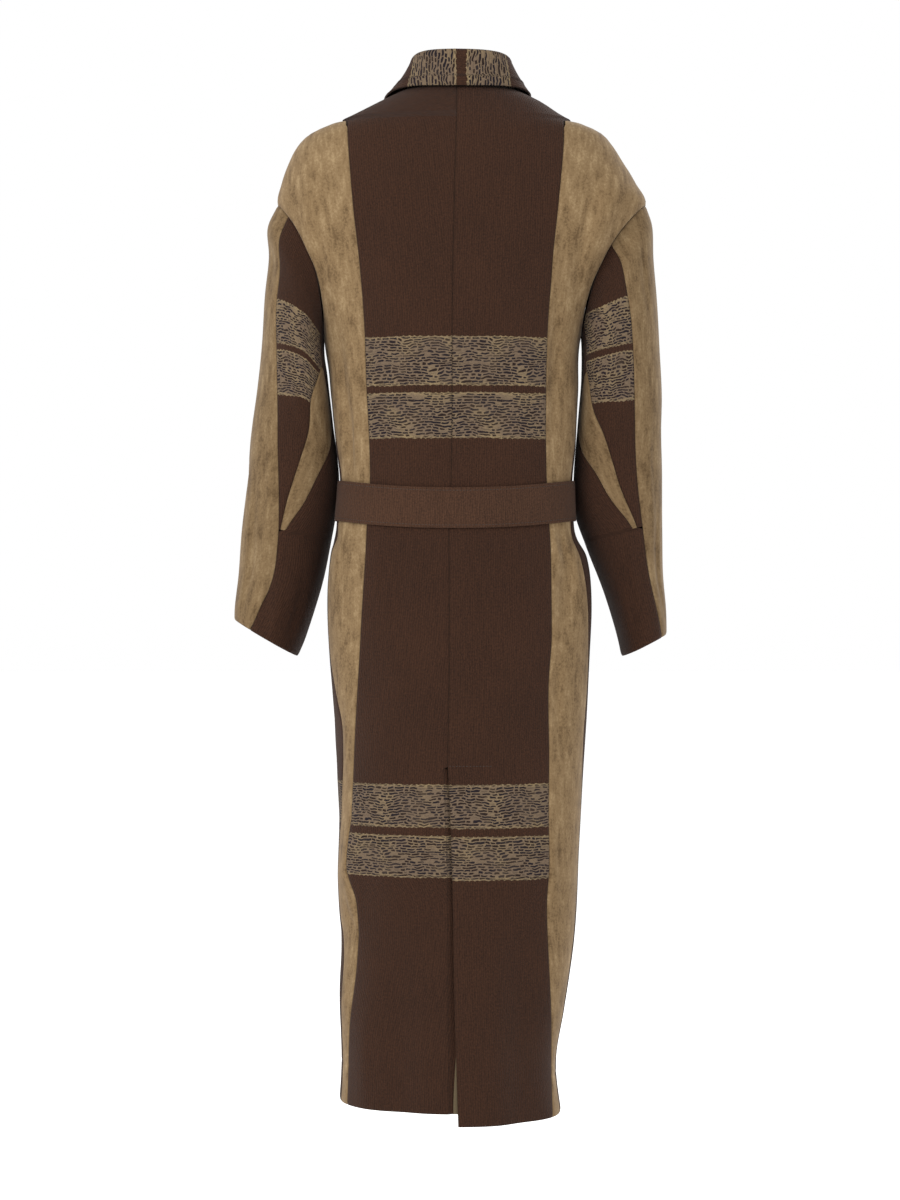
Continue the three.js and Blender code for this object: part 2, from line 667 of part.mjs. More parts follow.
// A point of a sleeve's outer surface: angle 0 is its outer line and a quarter turn is the back
function sleevePoint(side, angle, ring) {
  const sign = side === 'left' ? 1 : -1;
  const rows = SLEEVES[side].map((row, number) => ({ ...row, ring: number }));
  const at = (column) => along(rows, 'ring', column, ring);
  const dx = at('innerX') - at('outerX');
  const dz = at('innerZ') - at('outerZ');
  const chord = Math.hypot(dx, dz);
  const pull = Math.max(at('pull'), 0) * Math.sin(angle) ** 2;
  const power = ring < 1 ? 2 + (SLEEVE_POWER - 2) * ring : SLEEVE_POWER;
  const share = (1 - rounded(Math.cos(angle), power)) / 2;
  const x = at('outerX') + dx * share + dz / chord * pull;
  const z = at('outerZ') + dz * share - dx / chord * pull;
  const seamShare = 1 - smooth(0, 1.2, ring);
  const freeY = at('depth') * rounded(Math.sin(angle), power) - at('forward');
  const y = freeY + (armholePoint(side, angle).y - freeY) * seamShare;
  const away = ARMHOLE_GAP * (1 - smooth(0, 1, ring));
  return new THREE.Vector3(sign * (x - dz / chord * away), y, z + dx / chord * away);
}

const SLEEVE_ROWS = [0, 0.4, 1, 1.6, LEAF_TOP, 3, 4, 5, 6, 7, LEAF_BOTTOM, 8.6, 9.4, 10.2, LAST_RING];

function sleevePanel(name, side, { rows, edges, cells, thickness, finish }) {
  const outer = [];
  const inner = [];
  for (const ring of rows) {
    const [from, to] = edges(ring);
    const shift = SLEEVE_SEAM_GAP / 2 / SLEEVE_RADIUS;
    const outerRow = [];
    const innerRow = [];
    for (let j = 0; j <= cells; j += 1) {
      const start = from * Math.PI / 180 + shift;
      const end = to * Math.PI / 180 - shift;
      const angle = start + (end - start) * j / cells;
      const surface = (u, v) => sleevePoint(side, u, v);
      const inside = Math.min(Math.max(ring, SLEEVE_STEP.ring), LAST_RING - SLEEVE_STEP.ring);
      const normal = normalOf(surface, angle, inside, SLEEVE_STEP.angle, SLEEVE_STEP.ring);
      if (side === 'right') {
        normal.negate();
      }
      const point = sleevePoint(side, angle, ring);
      outerRow.push(point);
      innerRow.push(point.clone().addScaledVector(normal, thickness));
    }
    outer.push(outerRow);
    inner.push(innerRow);
  }
  return piece(name, wallGeometry(outer, inner), finish);
}

function sleeve(side) {
  const seam = (column, ring) => along(SLEEVE_SEAMS[side], 'ring', column, ring);
  const leafStart = (ring) => (ring < LEAF_TOP ? seam('back', ring) : seam('leafStart', ring));
  const underStart = (ring) => {
    if (ring < LEAF_TOP) {
      return seam('back', ring);
    }
    return ring > LEAF_BOTTOM ? seam('strip', ring) : seam('leafEnd', ring);
  };
  const toLeafEnd = SLEEVE_ROWS.filter((ring) => ring <= LEAF_BOTTOM);
  const leafRows = toLeafEnd.filter((ring) => ring >= LEAF_TOP);
  return [
    sleevePanel(`sleeve_${side}_strip`, side, {
      rows: SLEEVE_ROWS,
      edges: (ring) => [STRIP_FRONT, seam('strip', ring)],
      cells: 5,
      thickness: SUEDE,
      finish: SUEDE_FINISH,
    }),
    sleevePanel(`sleeve_${side}_back`, side, {
      rows: toLeafEnd,
      edges: (ring) => [seam('strip', ring), leafStart(ring)],
      cells: 6,
      thickness: WOOL,
      finish: WOOL_FINISH,
    }),
    sleevePanel(`sleeve_${side}_gusset`, side, {
      rows: leafRows,
      edges: (ring) => [seam('leafStart', ring), seam('leafEnd', ring)],
      cells: 2,
      thickness: SUEDE,
      finish: SUEDE_FINISH,
    }),
    sleevePanel(`sleeve_${side}_under`, side, {
      rows: SLEEVE_ROWS,
      edges: (ring) => [underStart(ring), 360 + STRIP_FRONT],
      cells: 13,
      thickness: WOOL,
      finish: WOOL_FINISH,
    }),
  ];
}

// The neckline that the collar follows: share 0 is the centre back and 1 the end of a lapel
function neckPlace(side, share) {
  const down = Math.max(share - COLLAR_BACK_SHARE, 0) / (1 - COLLAR_BACK_SHARE);
  const z = NECK_Z + (COLLAR_END_Z - NECK_Z) * down;
  const end = angleAt('front', frontEdge(side, z), z);
  if (share >= COLLAR_BACK_SHARE) {
    return { angle: end, z };
  }
  const back = side === 'left' ? Math.PI / 2 : -Math.PI * 3 / 2;
  return { angle: back + (end - back) * share / COLLAR_BACK_SHARE, z };
}

function neckPoint(at) {
  const side = at >= 0 ? 'left' : 'right';
  const { angle, z } = neckPlace(side, Math.abs(at));
  return bodyPoint(angle, z);
}

// Above zero outside the body's rings and below zero inside them
function outside(point) {
  const side = point.x >= 0 ? 'left' : 'right';
  const face = point.y >= 0 ? 'back' : 'front';
  const halfX = reach(side, point.z);
  const halfY = along(BODY, 'z', face, point.z);
  return (Math.abs(point.x) / halfX) ** BODY_POWER + (Math.abs(point.y) / halfY) ** BODY_POWER - 1;
}

// Keeps a point of the collar's fall clear of the body below it
function clearOfBody(point, clearance) {
  const moved = point.clone();
  for (let round = 0; round < 4 && moved.z < NECK_Z; round += 1) {
    const here = outside(moved);
    const slope = new THREE.Vector3(
      outside(moved.clone().setX(moved.x + 1)) - here,
      outside(moved.clone().setY(moved.y + 1)) - here,
      outside(moved.clone().setZ(moved.z + 1)) - here,
    );
    const distance = here / slope.length();
    if (distance < clearance) {
      moved.addScaledVector(slope.normalize(), clearance - distance);
    }
  }
  return moved;
}

// Middle line of one collar section: up the stand, over the roll and down the fall
function collarSection(at) {
  const column = (name) => along(COLLAR, 'at', name, Math.abs(at));
  const side = at >= 0 ? 'left' : 'right';
  const { angle, z } = neckPlace(side, Math.abs(at));
  const base = bodyPoint(angle, z);
  const normal = bodyNormal(angle, z);
  const tangent = neckPoint(at + NECK_STEP).sub(neckPoint(at - NECK_STEP)).normalize();
  const out = new THREE.Vector3().crossVectors(normal, tangent).normalize();
  const upright = column('upright');
  const up = normal.clone().multiplyScalar(1 - upright).add(new THREE.Vector3(0, 0, upright)).normalize();
  const level = out.clone().addScaledVector(up, -out.dot(up)).normalize();
  const start = base.clone().addScaledVector(normal, -WOOL / 2).addScaledVector(out, -column('inset'));
  const place = (p, q) => start.clone().addScaledVector(level, p).addScaledVector(up, q);
  const stand = column('stand');
  const lean = column('lean');
  const points = [place(0, 0), place(-lean * COLLAR_BEND.lean, stand * COLLAR_BEND.stand), place(-lean, stand)];
  for (const degrees of [45, 90, 135]) {
    const turn = degrees * Math.PI / 180;
    points.push(place(-lean + COLLAR_ROLL * (1 - Math.cos(turn)), stand + COLLAR_ROLL * Math.sin(turn)));
  }
  const foldStart = place(-lean + 2 * COLLAR_ROLL, stand);
  const foldEnd = base.clone().addScaledVector(out, column('fall')).addScaledVector(normal, column('lift'));
  for (const t of [0, 0.25, 0.5, 0.75, 1]) {
    points.push(clearOfBody(foldStart.clone().lerp(foldEnd, t), column('lift') * FALL_CLEAR));
  }
  return points;
}

function collar() {
  const sections = [];
  const steps = 30;
  for (let i = 0; i <= steps; i += 1) {
    sections.push(collarSection(-1 + 2 * i / steps));
  }
  const outer = [];
  const inner = [];
  sections.forEach((section, i) => {
    const before = sections[Math.max(i - 1, 0)];
    const after = sections[Math.min(i + 1, steps)];
    const outerRow = [];
    const innerRow = [];
    section.forEach((point, j) => {
      const across = after[j].clone().sub(before[j]);
      const up = section[Math.min(j + 1, section.length - 1)].clone().sub(section[Math.max(j - 1, 0)]);
      const normal = across.cross(up).normalize().multiplyScalar(WOOL / 2);
      outerRow.push(point.clone().add(normal));
      innerRow.push(point.clone().sub(normal));
    });
    outer.push(outerRow);
    inner.push(innerRow);
  });
  return piece('collar', wallGeometry(outer, inner), WOOL_FINISH);
}

// The belt goes once round the waist and its end lies over its start at the front
function belt() {
  const outer = [[], [], []];
  const inner = [[], [], []];
  const steps = 48;
  const turn = 2 * Math.PI + BELT.overlap;
  for (let j = 0; j <= steps; j += 1) {
    const angle = BELT_START + turn * j / steps;
    const dip = BELT.backDip * Math.max(Math.sin(angle), 0) ** 2;
    const lift = BELT.lift * smooth(2 * Math.PI - BELT.ramp, 2 * Math.PI, angle - BELT_START);
    for (let i = 0; i < 3; i += 1) {
      const z = BELT.sideTop - dip - BELT.height * i / 2;
      const normal = bodyNormal(angle, z);
      const base = bodyPoint(angle, z).addScaledVector(normal, BELT.clear + lift);
      inner[i].push(base);
      outer[i].push(base.clone().addScaledVector(normal, WOOL));
    }
  }
  return piece('belt', wallGeometry(outer, inner), BELT_FINISH);
}

function coat() {
  const group = new THREE.Group();
  group.add(backLeftWool(), backRightWool(), backSuede('left'), backSuede('right'));
  group.add(frontWool('left'), frontWool('right'));
  group.add(...sleeve('left'), ...sleeve('right'));
  group.add(collar(), belt(), ventFacing());
  return group;
}

export default coat();
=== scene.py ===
"""A long belted coat of dark wool and tan suede, hollow as it is worn, with its studio."""

import math

import bpy
import numpy as np
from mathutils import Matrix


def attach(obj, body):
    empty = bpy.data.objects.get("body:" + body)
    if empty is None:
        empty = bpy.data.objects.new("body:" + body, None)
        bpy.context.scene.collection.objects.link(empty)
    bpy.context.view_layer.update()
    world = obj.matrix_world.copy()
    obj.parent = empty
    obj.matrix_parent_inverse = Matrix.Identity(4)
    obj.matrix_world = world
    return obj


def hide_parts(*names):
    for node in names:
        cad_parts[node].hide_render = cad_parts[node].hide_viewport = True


bl_info = {
    "name": "Patchwork coat",
    "version": (1, 0, 0),
    "blender": (4, 5, 0),
    "location": "View3D > Sidebar > Coat",
    "description": "Sews a belted patchwork coat round its pattern pieces",
    "category": "Object",
}

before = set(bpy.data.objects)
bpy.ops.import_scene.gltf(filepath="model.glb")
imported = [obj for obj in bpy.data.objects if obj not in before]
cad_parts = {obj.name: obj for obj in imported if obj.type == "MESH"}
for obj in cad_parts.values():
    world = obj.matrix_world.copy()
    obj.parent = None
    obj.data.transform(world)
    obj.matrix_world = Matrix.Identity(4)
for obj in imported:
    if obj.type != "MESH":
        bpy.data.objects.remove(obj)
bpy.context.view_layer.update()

# The cutter's tables are in millimetres; MM makes them metres
MM = 0.001
LEAST_LENGTH = 0.0001

# Heights of the main levels
NECK_Z = 22
YOKE_Z = -13
YOKE_RUN = 9
YOKE_EASE = 0.016
ARMHOLE_TOP = -118
ARMHOLE_BOTTOM = -278
VENT_Z = -797
HEM_Z = -1210
HEM_LINE_Z = -1163
FACING_TOP = -1100

# Squareness of the rings: 2 is an ellipse, more is boxier
BODY_POWER = 2.25
SLEEVE_POWER = 2.1

# Which way x goes on each side
SIGN = {"left": 1, "right": -1}

# How much higher the hem hangs on each side
HANG = {"left": 6, "right": -9}

# Body sections: height, reach to the left, right, back and front
Z, LEFT, RIGHT, BACK, FRONT = range(5)
BODY = np.array([
    (22, 62, 74, 60, 56),
    (8, 91, 104, 72, 66),
    (-13, 133, 137, 85, 78),
    (-30, 173, 177, 93, 87),
    (-45, 190, 192, 98, 93),
    (-66, 202, 205, 104, 99),
    (-90, 211, 219, 109, 106),
    (-118, 216, 232, 113, 112),
    (-200, 186, 186, 118, 125),
    (-278, 159, 153, 114, 127),
    (-350, 151, 150, 104, 117),
    (-410, 145, 147, 97, 107),
    (-455, 140, 143, 93, 101),
    (-510, 145, 146, 96, 103),
    (-522, 147, 149, 99, 105),
    (-545, 152, 161, 108, 110),
    (-590, 156, 166, 118, 116),
    (-660, 153, 165, 124, 120),
    (-760, 146, 159, 124, 119),
    (-900, 140, 151, 120, 117),
    (-1010, 139, 146, 120, 118),
    (-1095, 140, 133, 123, 120),
    (-1160, 139, 124, 125, 121),
    (-1230, 142, 130, 127, 123),
], float)

# Seams on the back: height, where the wool ends at the left, the centre, where it ends at the right
SEAM_LEFT, SEAM_CENTRE, SEAM_RIGHT = 1, 2, 3
BACK_SEAMS = np.array([
    (-13, 130, -2, 131),
    (-54, 128, -1, 130),
    (-124, 122, 1, 123),
    (-200, 114, 2.5, 116),
    (-280, 108, 3.5, 112),
    (-350, 106, 3.5, 110),
    (-455, 102, 4.5, 110),
    (-510, 106, 7, 113),
    (-560, 108, 7, 115),
    (-640, 113, 7, 115),
    (-700, 117, 7, 112),
    (-800, 122, 9, 112),
    (-915, 125, 9, 112),
    (-960, 116, 9, 110),
    (-1030, 118, 9, 113),
    (-1110, 127, 9, 117),
    (-1220, 131, 9, 119),
], float)

# Free edge of the vent's upper flap, and how much of the underlap shows beside it
FLAP_EDGE = np.array([(-797, 8.7), (-830, 7), (-930, 3.5), (-1077, 1), (-1220, -3.5)], float)
VENT_STRIP = np.array([(-797, 4.5), (-1000, 6), (-1220, 10)], float)
UNDERLAP_END = -38
UNDERLAP_DEPTH = 4.5
UNDERLAP_STEP = 3.5

# Free edge of each front: height, how far it reaches past the centre
FRONT_EDGE = np.array([
    (22, -58), (-20, -57), (-80, -44), (-140, -25), (-210, 0),
    (-300, 34), (-400, 64), (-460, 76), (-700, 86), (-1220, 92),
], float)
WRAP_TOP = -140
WRAP_DEPTH = 4.4
WRAP_EDGE = 3
WRAP_RAMP = 26

# Side seams: height, how far behind the middle of the side each lies
SIDE_SEAMS = {
    "left": np.array([
        (-278, 0), (-350, 12), (-455, 22), (-510, 22), (-600, 16), (-660, 20), (-705, 38), (-750, 50),
        (-815, 44), (-900, 24), (-950, 22), (-1040, 38), (-1110, 30), (-1220, 30),
    ], float),
    "right": np.array([
        (-278, 0), (-350, 12), (-455, 22), (-510, 30), (-545, 42), (-620, 36), (-690, 26), (-760, 32),
        (-840, 20), (-930, 20), (-1040, 28), (-1220, 22),
    ], float),
}

# Armhole: x at its top and at its bottom, and the pull towards the body at its middle
ARMHOLE = {"left": (216, 159), "right": (232, 153)}
ARMHOLE_PULL = 17

# Sleeve sections: ring, outer x and z, inner x and z, half depth, lean forward, pull
RING, OUTER_X, OUTER_Z, INNER_X, INNER_Z, DEPTH, FORWARD, PULL = range(8)
SLEEVES = {
    "left": np.array([
        (0, 216, -118, 159, -278, 62, 0, 17),
        (1, 228, -145, 159.8, -300, 65, 0, 12),
        (2, 227, -180, 155.6, -325, 67, 1, 6),
        (3, 232, -225, 152.6, -352, 68, 6, 2),
        (4, 236, -280, 149, -385, 67, 15, 0),
        (5, 243, -340, 144.2, -420, 65, 23, 0),
        (6, 251, -400, 142.6, -455, 63, 29, 0),
        (7, 256, -455, 146.2, -492, 62, 34, 0),
        (8, 262, -510, 154, -532, 61, 38, 0),
        (9, 266, -560, 165, -583, 59, 41, 0),
        (10, 271, -600, 182, -638, 57, 43, 0),
        (11, 272, -622, 194, -667, 56, 44, 0),
    ], float),
    "right": np.array([
        (0, 232, -118, 153, -278, 62, 0, 17),
        (1, 240, -143, 155, -300, 65, 0, 12),
        (2, 242, -180, 154.2, -325, 67, 1, 6),
        (3, 246, -225, 152.6, -352, 68, 6, 2),
        (4, 250, -280, 150, -385, 67, 15, 0),
        (5, 254, -340, 147, -420, 65, 23, 0),
        (6, 254, -400, 146, -455, 63, 29, 0),
        (7, 255, -455, 147.6, -492, 62, 34, 0),
        (8, 255, -510, 162, -532, 61, 38, 0),
        (9, 256, -560, 182, -583, 59, 41, 0),
        (10, 260, -605, 199, -638, 57, 43, 0),
        (11, 261, -640, 206, -667, 56, 44, 0),
    ], float),
}
LAST_RING = 11
RING_STEP = 47
SLEEVE_RADIUS = 62
ARMHOLE_GAP = 0.65

# Seams round a sleeve in degrees from its outer line towards the back:
# ring, strip, back, start of the leaf, end of the leaf
STRIP_SEAM, BACK_SEAM, LEAF_START, LEAF_END = 1, 2, 3, 4
SLEEVE_SEAMS = {
    "left": np.array([
        (0, 42, 142, 142, 142), (1, 46, 144, 144, 144), (2, 50, 145, 144, 148), (3, 53, 145, 131, 165),
        (4, 59, 145, 115, 165), (5, 66, 145, 109, 148), (6, 72, 145, 98, 126), (7, 78, 145, 89, 109),
        (8, 84, 145, 85, 89), (9, 84, 145, 84, 84), (10, 74, 145, 74, 74), (11, 65, 145, 65, 65),
    ], float),
    "right": np.array([
        (0, 76, 148, 148, 148), (1, 75, 150, 150, 150), (2, 74, 152, 151, 155), (3, 73, 152, 142, 172),
        (4, 73, 152, 131, 172), (5, 73, 152, 113, 152), (6, 71, 152, 99, 124), (7, 68, 152, 87, 102),
        (8, 65, 152, 72, 78), (9, 63, 152, 63, 63), (10, 56, 152, 56, 56), (11, 44, 152, 44, 44),
    ], float),
}
STRIP_FRONT = -30
LEAF_TOP = 2.25
LEAF_BOTTOM = 7.85

# Largest folds of the body: face, x and z at the top, x and z at the bottom, width, height
FOLDS = (
    ("back", 176, -60, 170, -200, 13, 5),
    ("back", 141, -262, 127, -452, 6.5, -5),
    ("back", -196, -70, -160, -215, 14, 6),
    ("back", -122, -215, -122, -430, 10, -6),
    ("back", -140, -520, -128, -640, 12, -5),
    ("back", 125, -860, 128, -1000, 14, 7),
    ("back", 70, -960, 66, -1260, 26, -7),
    ("back", -78, -900, -84, -1260, 26, -8),
    ("front", 100, -900, 112, -1260, 24, -8),
    ("front", -96, -880, -104, -1260, 24, -8),
    ("front", 122, -520, 100, -660, 16, -5),
    ("front", -124, -520, -104, -650, 15, -5),
    ("front", 110, -300, 104, -440, 15, -5),
    ("front", -108, -290, -102, -440, 15, -5),
)

# Creases of the body, in the same columns; each lies across its line with one side steeper
CREASES = (
    ("back", 124, -348, 119, -462, 4.5, -3.2),
    ("back", 133, -320, 126, -452, 4, 1.8),
    ("back", 152, -250, 147, -330, 5, 2.2),
    ("back", -114.5, -262, -112.5, -448, 3, 1.5),
    ("back", -137, -296, -128, -440, 6, 2.0),
    ("back", -127, -506, -142, -566, 4.5, -2.6),
    ("back", -117, -508, -130, -560, 4, 1.6),
    ("back", -146, -520, -152, -598, 5, 2.0),
    ("back", 146, -506, 138, -542, 4.5, -2.2),
    ("back", 136, -510, 143, -600, 6, 1.8),
    ("back", 131, -928, 116, -1006, 5.5, -2.6),
    ("back", 126, -1010, 130, -1120, 7, 1.8),
    ("back", 134, -700, 129, -845, 6, -2.2),
    ("back", -128, -640, -131, -800, 7, -2.0),
    ("back", -121, -850, -127, -990, 6, 1.6),
    ("back", -30, -520, -44, -640, 12, -1.8),
    ("back", 52, -518, 66, -668, 14, -2.0),
    ("back", -78, -516, -92, -612, 10, 1.6),
    ("back", 86, -520, 96, -600, 9, 1.4),
    ("back", 60, -96, 34, -176, 15, -1.6),
    ("back", -66, -92, -40, -184, 16, -1.8),
    ("back", 150, -96, 112, -214, 12, -1.6),
    ("back", 158, -92, 150, -250, 8, -2.4),
    ("back", -154, -110, -118, -236, 11, -1.5),
    ("back", -176, -84, -146, -258, 8, -2.8),
    ("back", 88, -300, 74, -446, 12, -1.8),
    ("back", -70, -310, -62, -450, 13, -1.7),
    ("back", 30, -372, 26, -450, 8, 1.2),
    ("back", -24, -980, -30, -1200, 12, 1.6),
    ("back", 100, -1060, 104, -1230, 10, 1.8),
    ("front", 74, -220, 60, -440, 12, -2.2),
    ("front", -64, -250, -48, -446, 13, -2.4),
    ("front", 132, -300, 128, -440, 7, 1.8),
    ("front", -134, -296, -126, -446, 7, 2.0),
    ("front", 46, -516, 58, -640, 10, -2.4),
    ("front", -22, -518, -40, -664, 12, -2.2),
    ("front", 84, -514, 98, -590, 8, 2.0),
    ("front", -84, -520, -96, -616, 9, 1.9),
    ("front", 132, -520, 142, -610, 6, -2.2),
    ("front", 20, -900, 28, -1190, 16, -2.6),
    ("front", -52, -960, -60, -1220, 14, 2.2),
    ("front", 132, -760, 126, -980, 9, -2.0),
)

# Creases of the sleeves: side, degrees and ring at the start and at the end, width, height
SLEEVE_CREASES = (
    ("left", 50, 4.6, 60, 10.8, 4.5, 2.6),
    ("left", 34, 6.4, 40, 10.9, 6, -3.4),
    ("left", 92, 8.9, 96, 11.2, 7, 2.4),
    ("left", 76, 8.2, 74, 10.6, 4.5, -2.0),
    ("left", 120, 8.4, 124, 10.9, 8, -2.6),
    ("left", 22, 1.2, 34, 3.2, 8, -1.6),
    ("left", 112, 1.0, 96, 3.0, 12, -1.8),
    ("left", 70, 3.4, 96, 5.0, 8, 1.4),
    ("left", 12, 5.6, -14, 7.6, 7, -2.6),
    ("left", -40, 5.0, -78, 6.8, 8, -3.0),
    ("left", -92, 5.4, -132, 6.2, 7, -2.6),
    ("left", -64, 7.6, -110, 8.6, 8, 2.6),
    ("left", -36, 8.4, -62, 10.4, 8, -2.6),
    ("left", -70, 1.0, -92, 3.2, 11, -2.4),
    ("right", 38, 1.0, 41, 3.6, 4, -2.0),
    ("right", 46, 5.0, 40, 8.4, 7, 1.9),
    ("right", 28, 7.0, 34, 10.6, 6, -2.6),
    ("right", 98, 8.6, 108, 11.0, 8, -2.6),
    ("right", 84, 7.8, 92, 9.6, 5, 1.8),
    ("right", 112, 1.0, 92, 2.8, 11, -1.7),
    ("right", 66, 3.0, 88, 4.4, 8, -1.3),
    ("right", 8, 5.2, -20, 7.0, 7, -2.4),
    ("right", -36, 5.6, -80, 6.6, 8, -3.0),
    ("right", -84, 4.6, -128, 5.8, 8, -2.4),
    ("right", -52, 7.4, -104, 8.8, 8, 2.4),
    ("right", -30, 8.8, -52, 10.6, 8, -2.4),
    ("right", -66, 1.2, -88, 3.4, 12, -2.2),
)

# Belt
BELT_HEIGHT = 49
BELT_SIDE_TOP = -453
BELT_BACK_DIP = 11
BELT_CLEAR = 0.8
BELT_OVERLAP = 0.75
BELT_LIFT = 3.4
BELT_START = -1.95
BELT_JOIN_X = 14
BELT_CROWN = 0.7
BELT_MIDDLE_LINE = 7

# Collar sections from the centre back to the lapel's end
INSET, STAND, LEAN, FALL, LIFT, UPRIGHT = range(1, 7)
COLLAR = np.array([
    (0, 1.8, 36, 3, 9, 4.5, 1),
    (0.11, 1.8, 35, 2, 10, 4.5, 1),
    (0.19, 1.8, 31, 9, 13, 4.5, 1),
    (0.27, 2.8, 24, 16, 21, 5, 0.95),
    (0.36, 7, 17, 10, 34, 5.5, 0.7),
    (0.48, 2.6, 13, 3, 50, 6, 0.35),
    (0.65, 1.8, 9, 0, 56, 6, 0.05),
    (0.82, 1.8, 8, 0, 40, 6, 0),
    (1, 1.8, 6, 0, 12, 5, 0),
], float)
COLLAR_END_Z = -172
COLLAR_BACK_SHARE = 0.34
COLLAR_ROLL = 4
COLLAR_WELT = 12
STAND_LINES = 10
ROLL_LINE = 14

# Woven bands: height of the top and the bottom of each
BODY_BANDS = ((-285, -344), (-351, -406.5), (-815, -868), (-876, -928))
SLEEVE_BANDS = ((0, -52), (-58, -112))
COLLAR_BANDS = ((54, -2.4), (-12, -66))

# The sleeve's bands run askew: x, z of the upper band's top, z of the lower band's bottom
SLEEVE_BAND_LINES = {
    "left": np.array([(130, -318, -396), (162, -277, -372), (182, -252, -356), (217, -234, -351),
                      (260, -226, -350)], float),
    "right": np.array([(130, -268, -366), (158, -252, -362), (185, -241, -360), (215, -230, -358),
                       (260, -224, -356)], float),
}


def paint(red, green, blue):
    """Screen colour from 0 to 255 as Blender's linear colour."""
    linear = []
    for level in (red, green, blue):
        share = level / 255
        linear.append(share / 12.92 if share <= 0.04045 else ((share + 0.055) / 1.055) ** 2.4)
    return tuple(linear)


def length(name, description, default):
    """A setting in metres."""
    return bpy.props.FloatProperty(
        name=name, description=description, default=default, min=LEAST_LENGTH, unit="LENGTH")


def colour(name, description, red, green, blue):
    """A colour setting, from 0 to 255 on the screen."""
    return bpy.props.FloatVectorProperty(
        name=name, description=description, size=3, subtype="COLOR", default=paint(red, green, blue))


class CoatSizes(bpy.types.PropertyGroup):
    """Sizes of the cloth and the sewing."""
    wool: length("Wool", "Thickness of the wool", 0.0022)
    suede: length("Suede", "Thickness of the suede", 0.0016)
    facing: length("Facing", "Thickness of the vent's facing", 0.001)
    cell: length("Cell", "Size of one face of the cloth", 0.005)
    seam_gap: length("Seam gap", "Gap between two sewn edges", 0.0002)
    seam_dip: length("Seam dip", "How far cloth is drawn in at a seam", 0.0008)
    stitch: length("Stitch", "Length of one stitch", 0.003)


class CoatColours(bpy.types.PropertyGroup):
    """Colours of the cloth and the sewing."""
    wool: colour("Wool", "Dark brown wool", 46, 28, 19)
    wool_light: colour("Wool, light yarns", "Lighter yarns of the wool", 61, 39, 27)
    belt: colour("Belt", "Wool of the belt", 57, 38, 27)
    suede: colour("Suede", "Tan suede", 114, 93, 66)
    suede_light: colour("Suede, high nap", "Suede where its nap stands", 139, 118, 88)
    suede_dark: colour("Suede, low nap", "Suede where its nap lies flat", 80, 62, 41)
    band: colour("Band", "Ground of the woven bands", 99, 83, 67)
    band_edge: colour("Band edge", "Ground along a band's edges", 128, 110, 80)
    dash: colour("Dash", "Dark plum yarns of the bands", 25, 20, 25)
    dash_warm: colour("Dash, warm", "Dark brown yarns of the bands", 33, 23, 20)
    facing: colour("Facing", "Twill facing of the vent", 78, 64, 38)
    thread: colour("Thread", "Sewing thread", 40, 29, 22)
    floor: colour("Floor", "Studio floor", 246, 246, 246)


# Curves and surfaces

def along(table, column, at):
    """A column of a table at a place between its rows, on a smooth curve through them."""
    keys = table[:, 0]
    at = np.asarray(at, float)
    if keys[-1] < keys[0]:
        keys = -keys
        at = -at
    values = table[:, column]
    steps = np.diff(values) / np.diff(keys)
    slopes = np.empty(len(keys))
    slopes[0] = steps[0]
    slopes[-1] = steps[-1]
    slopes[1:-1] = (values[2:] - values[:-2]) / (keys[2:] - keys[:-2])
    i = np.clip(np.searchsorted(keys, at, side="right") - 1, 0, len(keys) - 2)
    span = keys[i + 1] - keys[i]
    t = np.clip((at - keys[i]) / span, 0, 1)
    t2 = t * t
    t3 = t2 * t
    return (values[i] * (2 * t3 - 3 * t2 + 1) + slopes[i] * span * (t3 - 2 * t2 + t)
            + values[i + 1] * (3 * t2 - 2 * t3) + slopes[i + 1] * span * (t3 - t2))


def smooth(low, high, value):
    """From 0 at low to 1 at high, with soft ends."""
    t = np.clip((value - low) / (high - low), 0, 1)
    return t * t * (3 - 2 * t)


def rounded(value, power):
    """The co-ordinate of a boxy ring from a circle's."""
    return np.sign(value) * np.abs(value) ** (2 / power)


def unit(vectors):
    """Vectors with their length made 1."""
    return vectors / np.maximum(np.linalg.norm(vectors, axis=-1, keepdims=True), 1e-9)


def run_along(points, axis=0):
    """How far along its line each point lies."""
    steps = np.linalg.norm(np.diff(points, axis=axis), axis=-1)
    start = np.zeros_like(np.take(steps, [0], axis))
    return np.concatenate([start, np.cumsum(steps, axis)], axis)


def along_side(x, z):
    """Half width of the body's ring on the side of x."""
    return np.where(np.asarray(x) >= 0, along(BODY, LEFT, z), along(BODY, RIGHT, z))


def along_face(is_back, z):
    """Half depth of the body's ring at the back or at the front."""
    return np.where(is_back, along(BODY, BACK, z), along(BODY, FRONT, z))


def fold_height(is_back, x, z):
    """How far the largest folds raise the cloth."""
    height = np.zeros(np.shape(x))
    for face, top_x, top_z, bottom_x, bottom_z, width, rise in FOLDS:
        t = (top_z - z) / (top_z - bottom_z)
        here = (is_back == (face == "back")) & (t > 0) & (t < 1)
        middle = top_x + (bottom_x - top_x) * t
        fade = smooth(0, 0.6, t) if bottom_z < HEM_Z else np.sin(np.pi * np.clip(t, 0, 1))
        height += np.where(here, rise * fade * np.exp(-(((x - middle) / width) ** 2)), 0)
    return height


